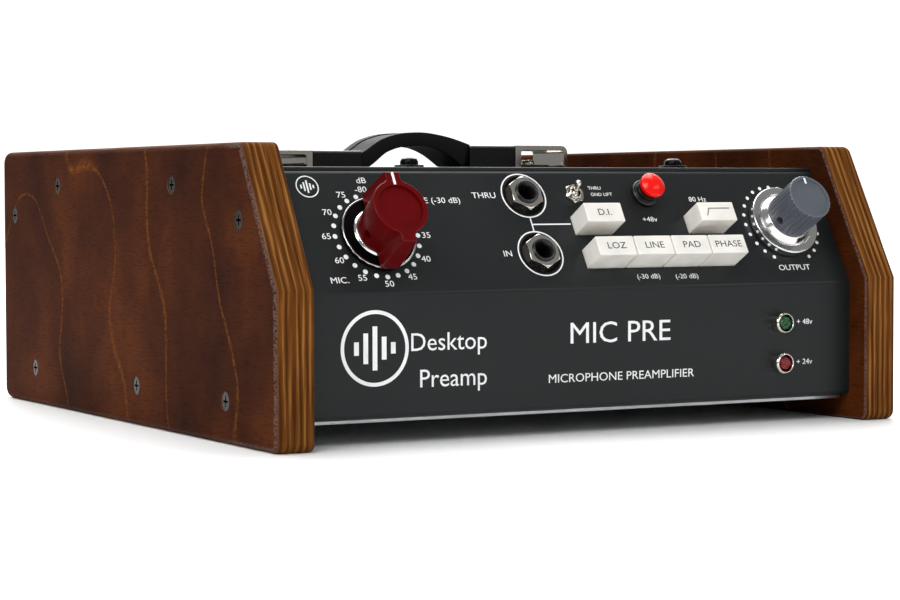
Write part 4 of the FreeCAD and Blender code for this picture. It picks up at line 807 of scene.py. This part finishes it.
@dataclass
class Handle:
    """The carrying handle: a bowed strap with moulded grooves between two sleeves and plated brackets."""

    thickness: float = 6.4
    tuck: float = 8.0
    tuck_thickness: float = 4.0
    side_margin: float = 0.4
    groove: float = 0.45
    groove_slope: float = 0.12
    groove_rows: tuple = (4, 6, 8, 10, 12)
    rows: int = 17
    lengths: int = 64
    middle_heights: tuple = (4.4, 11.9, 14.4, 13.05, 9.0)
    tuck_heights: tuple = (4.5, 5.9)
    edge_round: float = 1.6
    end_growth: tuple = (1.4, 4.4)
    flare_start: float = 0.25
    flare_reach: float = 0.5
    flare_power: float = 1.5

    def route(self) -> bpy.types.Object:
        """Draws the line that the middle of the strap follows.

        Returns:
            The curve object, which is removed when the strap is bent.
        """
        left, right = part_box("handle_sleeve_left"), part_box("handle_sleeve_right")
        start, end = left[1].x, right[0].x
        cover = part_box("top_cover")[1].z
        across = (left[0].y + left[1].y) / 2
        steps = len(self.middle_heights) - 1
        points = [(start - self.tuck * MM, self.tuck_heights[0])]
        points += [(start + (end - start) * i / steps, h) for i, h in enumerate(self.middle_heights)]
        points += [(end + self.tuck * MM, self.tuck_heights[1])]
        curve = bpy.data.curves.new("strap_route", "CURVE")
        curve.dimensions = "3D"
        spline = curve.splines.new("BEZIER")
        spline.bezier_points.add(len(points) - 1)
        for knot, (x, height) in zip(spline.bezier_points, points):
            knot.co = (x, across, cover + height * MM)
            knot.handle_left_type = knot.handle_right_type = "AUTO"
        route = bpy.data.objects.new("strap_route", curve)
        bpy.context.scene.collection.objects.link(route)
        return route

    def strap(self) -> None:
        """Makes the strap: a grooved bar, bent along its line."""
        route = self.route()
        length = route.data.splines[0].calc_length()
        low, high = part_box("handle_strap")
        width = high.y - low.y
        bpy.ops.object.select_all(action="DESELECT")
        bpy.ops.mesh.primitive_grid_add(x_subdivisions=self.lengths, y_subdivisions=self.rows, size=1.0,
                                        location=(length / 2, 0, -self.thickness * MM / 2))
        piece = bpy.context.object
        piece.name = "handle_strap_moulded"
        piece.scale = (length, width, 1.0)
        settle(piece)
        bpy.ops.object.mode_set(mode="EDIT")
        bpy.ops.mesh.select_all(action="SELECT")
        bpy.ops.mesh.extrude_region_move(TRANSFORM_OT_translate={"value": (0, 0, self.thickness * MM)})
        bpy.ops.mesh.select_all(action="DESELECT")
        bpy.ops.object.mode_set(mode="OBJECT")
        pitch = width / self.rows
        for face in piece.data.polygons:
            row = int((face.center.y + width / 2) / pitch)
            face.select = face.center.z > self.thickness * MM * 0.49 and row in self.groove_rows
        bpy.ops.object.mode_set(mode="EDIT")
        bpy.ops.mesh.inset(thickness=self.groove_slope * MM, depth=-self.groove * MM, use_even_offset=True)
        bpy.ops.mesh.select_all(action="SELECT")
        bpy.ops.mesh.normals_make_consistent(inside=False)
        bpy.ops.object.mode_set(mode="OBJECT")
        share = self.tuck_thickness / self.thickness
        for vertex in piece.data.vertices:
            away = 2 * vertex.co.x / length - 1
            most = self.end_growth[away > 0]
            past = max(0.0, abs(away) - self.flare_start)
            grown = most * past ** self.flare_power / self.flare_reach ** self.flare_power
            if vertex.co.z < 0:
                vertex.co.z -= min(grown, most) * MM
            if not self.tuck * MM < vertex.co.x < length - self.tuck * MM:
                vertex.co.z *= share
                vertex.co.y *= 1 - 2 * self.side_margin * MM / width
        round_off(piece, self.edge_round, 4, 80.0)
        bend = piece.modifiers.new("bend", "CURVE")
        bend.object = route
        bend.deform_axis = "POS_X"
        bpy.ops.object.modifier_apply(modifier=bend.name)
        close_up(piece)
        bpy.ops.object.shade_smooth_by_angle(angle=math.radians(40))
        bpy.data.objects.remove(route)
        place_piece(piece, Slot.STRAP, CHASSIS)
        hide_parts("handle_strap")

    def build(self) -> None:
        """Makes the strap and rounds the sleeves, brackets and screws."""
        self.strap()
        for side in ("left", "right"):
            softened("handle_sleeve_" + side, 0.5, Slot.SLEEVE)
            softened("handle_bracket_" + side, 0.4, Slot.NICKEL)
        softened("handle_screws", 0.2, Slot.NICKEL)


@dataclass
class GainControl:
    """The red winged gain knob on its silver collar and black skirt."""

    slope: Face
    body: str = "gain_control"
    line_width: float = 1.1
    line_start: float = 9.8
    line_end: float = 15.4
    rim: float = 0.75
    rim_round: float = 0.22

    def build(self) -> None:
        """Rounds the knob, skirt and collar, and prints the pointer."""
        softened("gain_knob", 0.35, Slot.RED_KNOB, self.body)
        softened("gain_skirt", 0.2, Slot.BLACK_SKIRT, self.body)
        softened("gain_collar", 0.2, Slot.ALUMINIUM, self.body)
        self.skirt_rim()
        dress(frame["nodes"]["gain_grub_screw"], Slot.BLACK_STEEL)
        dress(frame["nodes"]["gain_shaft"], Slot.ZINC)
        axis = self.slope.middle("gain_skirt")
        top = self.slope.extent("gain_knob")[1].z
        pointer = Print(self.slope)
        pointer.bar(axis.x, axis.y + (self.line_start + self.line_end) / 2, self.line_width,
                    self.line_end - self.line_start)
        pointer.finish("gain_pointer_line", self.body, Slot.WHITE_INK, top)

    def skirt_rim(self) -> None:
        """Lays the bright turned rim on the edge of the skirt."""
        top = self.slope.extent("gain_skirt")[1].z
        axis = self.slope.middle("gain_skirt")
        radius = self.slope.extent("gain_skirt")[1].x - axis.x
        rim = Print(self.slope, ink=0.9, sunk=self.rim)
        rim.ring(axis.x, axis.y, radius + 0.05, self.rim)
        piece = rim.marks[0]
        round_off(piece, self.rim_round, 3, 30.0)
        bpy.ops.object.shade_smooth_by_angle(angle=math.radians(40))
        rim.finish("gain_skirt_rim", self.body, Slot.ALUMINIUM, top)


@dataclass
class OutputControl:
    """The fluted grey output knob on its dished bright skirt."""

    slope: Face
    body: str = "output_control"
    line_width: float = 1.0
    line_start: float = 6.4
    line_end: float = 9.2

    def build(self) -> None:
        """Rounds the knob and skirt, and prints the mark."""
        softened("output_knob", 0.3, Slot.GREY_KNOB, self.body)
        softened("output_skirt", 0.3, Slot.ALUMINIUM, self.body)
        dress(frame["nodes"]["output_grub_screw"], Slot.BLACK_STEEL)
        dress(frame["nodes"]["output_shaft"], Slot.ZINC)
        axis = self.slope.middle("output_skirt")
        top = self.slope.extent("output_knob")[1].z
        mark = Print(self.slope)
        mark.bar(axis.x, axis.y + (self.line_start + self.line_end) / 2, self.line_width,
                 self.line_end - self.line_start)
        mark.finish("output_pointer_line", self.body, Slot.WHITE_INK, top)


@dataclass
class PushButtons:
    """The six white buttons, each with its legend."""

    slope: Face
    legend: float = 3.1
    edge: float = 0.25

    def build(self) -> None:
        """Rounds each cap and prints its legend on it."""
        names = {"loz": "LOZ", "line": "LINE", "pad": "PAD", "phase": "PHASE", "di": "D.I."}
        for button in BUTTONS:
            body = button + "_push"
            softened(button + "_button", self.edge, Slot.CAP, body)
            centre = self.slope.middle(button + "_button")
            sheet = Print(self.slope, ink=0.04)
            if button in names:
                sheet.words(names[button], centre.x, centre.y - 0.2, self.legend)
            else:
                self.high_pass(sheet, centre)
            sheet.finish(button + "_legend", body, Slot.DARK_INK, centre.z)

    def high_pass(self, sheet: Print, centre: Vector) -> None:
        """Draws the symbol of a high-pass filter: a rise and then a level line."""
        sheet.bar(centre.x + 1.2, centre.y + 1.4, 10.6, 0.4)
        sheet.bar(centre.x - 4.9, centre.y - 0.3, 0.4, 4.0, turn=-25)


@dataclass
class SmallControls:
    """The jack sockets, toggle switch, round red button and lamps."""

    def build(self) -> None:
        """Rounds and dresses the small controls."""
        softened("jack_nuts", 0.35, Slot.NICKEL)
        softened("jack_washers", 0.15, Slot.BLACK_STEEL)
        for node in ("jack_thru", "jack_in"):
            softened(node, 0.25, Slot.JACK)
        softened("toggle_nut", 0.25, Slot.NICKEL)
        softened("toggle_switch", 0.15, Slot.NICKEL)
        softened("toggle_lever", 0.15, Slot.NICKEL, "ground_lift_lever")
        softened("phantom_bushing", 0.3, Slot.BUSHING)
        softened("phantom_button", 0.3, Slot.RED_BUTTON, "phantom_push")
        softened("led_bezels", 0.3, Slot.NICKEL)
        dress(frame["nodes"]["led_lens_green"], Slot.GREEN_LENS)
        dress(frame["nodes"]["led_lens_red"], Slot.RED_LENS)


@dataclass
class RearAndInside:
    """The rear connectors and everything inside the case, which keep their CAD shapes."""

    def build(self) -> None:
        """Dresses the nodes that keep their CAD shape."""
        table = {
            Slot.CONNECTOR: ("xlr_input", "xlr_output"),
            Slot.NICKEL: ("dc_socket", "xlr_latch", "gain_switch_nut", "output_pot_nut"),
            Slot.SWITCH: ("gain_switch", "switch_bank"),
            Slot.ZINC: ("output_pot",),
            Slot.BOARD: ("switch_board", "main_board"),
            Slot.BRASS: ("switch_board_posts", "board_standoffs"),
            Slot.CAN: ("input_transformer",),
            Slot.CORE: ("output_transformer",),
            Slot.CAPACITOR: ("filter_capacitors",),
            Slot.ANODISED: ("heatsink",),
        }
        for slot, nodes in table.items():
            for node in nodes:
                dress(frame["nodes"][node], slot)


@dataclass
class Studio:
    """A pale floor, soft lights and the camera."""

    camera_place: tuple = (-0.548262, -1.013578, 0.100130)
    camera_turn: tuple = (87.51078945, 0.14323981, -28.99080652)
    lens: float = 99.2532
    sensor: float = 36.0
    clip: tuple = (0.01, 100.0)
    floor_size: float = 7.0
    backdrop_way: tuple = (0.485, 0.875, 0.0)
    backdrop_edge: tuple = (0.6, 0.93)
    backdrop_glow: float = 1.15
    room_glow: float = 0.26
    softboxes: tuple = (
        # name, place, size across and up, power in watts
        ("key", (-0.9, -1.3, 1.4), (1.1, 0.9), 18.0),
        ("strip", (1.05, -1.5, 0.95), (1.0, 0.22), 3.5),
        ("top", (0.1, 0.45, 1.8), (2.0, 1.4), 40.0),
        ("left", (-1.8, -0.7, 0.9), (0.7, 0.7), 9.0),
        ("backdrop", (1.2, 2.8, 2.2), (3.0, 2.4), 130.0),
    )

    def floor(self) -> None:
        """Lays the pale floor."""
        bpy.ops.object.select_all(action="DESELECT")
        bpy.ops.mesh.primitive_plane_add(size=self.floor_size)
        floor = bpy.context.object
        floor.name = "studio_floor"
        paint = Finish("pale floor", "#f4f4f4", roughness=0.55)
        floor.data.materials.append(paint.material())

    def lights(self) -> None:
        """Sets the softboxes and the room's glow, which is brightest on the lit backdrop."""
        for name, place, size, power in self.softboxes:
            lamp = bpy.data.lights.new(name, "AREA")
            lamp.shape = "RECTANGLE"
            lamp.size, lamp.size_y = size
            lamp.energy = power
            holder = bpy.data.objects.new(name, lamp)
            holder.location = place
            target = Vector((place[0], place[1], 0)) if name == "backdrop" else Vector((0, 0, 0.06))
            aim = target - Vector(place)
            holder.rotation_euler = aim.to_track_quat("-Z", "Y").to_euler()
            bpy.context.scene.collection.objects.link(holder)
        world = bpy.data.worlds.new("studio")
        world.use_nodes = True
        tree = world.node_tree
        where = add_node(tree, "TexCoord")
        along = add_node(tree, "VectorMath", {"operation": "DOT_PRODUCT"}, {1: self.backdrop_way},
                         {0: where.outputs["Generated"]})
        glow = add_node(tree, "MapRange",
                        values={"From Min": self.backdrop_edge[0], "From Max": self.backdrop_edge[1],
                                "To Min": self.room_glow, "To Max": self.backdrop_glow},
                        links={"Value": along.outputs["Value"]})
        tree.links.new(glow.outputs[0], tree.nodes["Background"].inputs["Strength"])
        tree.nodes["Background"].inputs["Color"].default_value = linear("#ffffff")
        bpy.context.scene.world = world

    def camera(self) -> None:
        """Sets the camera."""
        data = bpy.data.cameras.new("camera")
        data.lens, data.sensor_width = self.lens, self.sensor
        data.clip_start, data.clip_end = self.clip
        holder = bpy.data.objects.new("camera", data)
        holder.location = self.camera_place
        holder.rotation_euler = [math.radians(a) for a in self.camera_turn]
        bpy.context.scene.collection.objects.link(holder)
        bpy.context.scene.camera = holder

    def build(self) -> None:
        """Makes the studio."""
        self.floor()
        self.lights()
        self.camera()
        bpy.context.scene.view_settings.view_transform = "Standard"


def main() -> None:
    """Builds every sub-assembly and the studio round them."""
    logging.basicConfig(level=logging.INFO, format="%(name)s: %(message)s")
    slope = slope_face()
    studio = Studio()
    studio.build()
    for part in (Case(), Handle(), GainControl(slope), OutputControl(slope), PushButtons(slope), SmallControls(),
                 RearAndInside(), PanelPrint(slope)):
        part.build()
        LOG.info("%s is built", type(part).__name__)


if __name__ == "__main__":
    main()
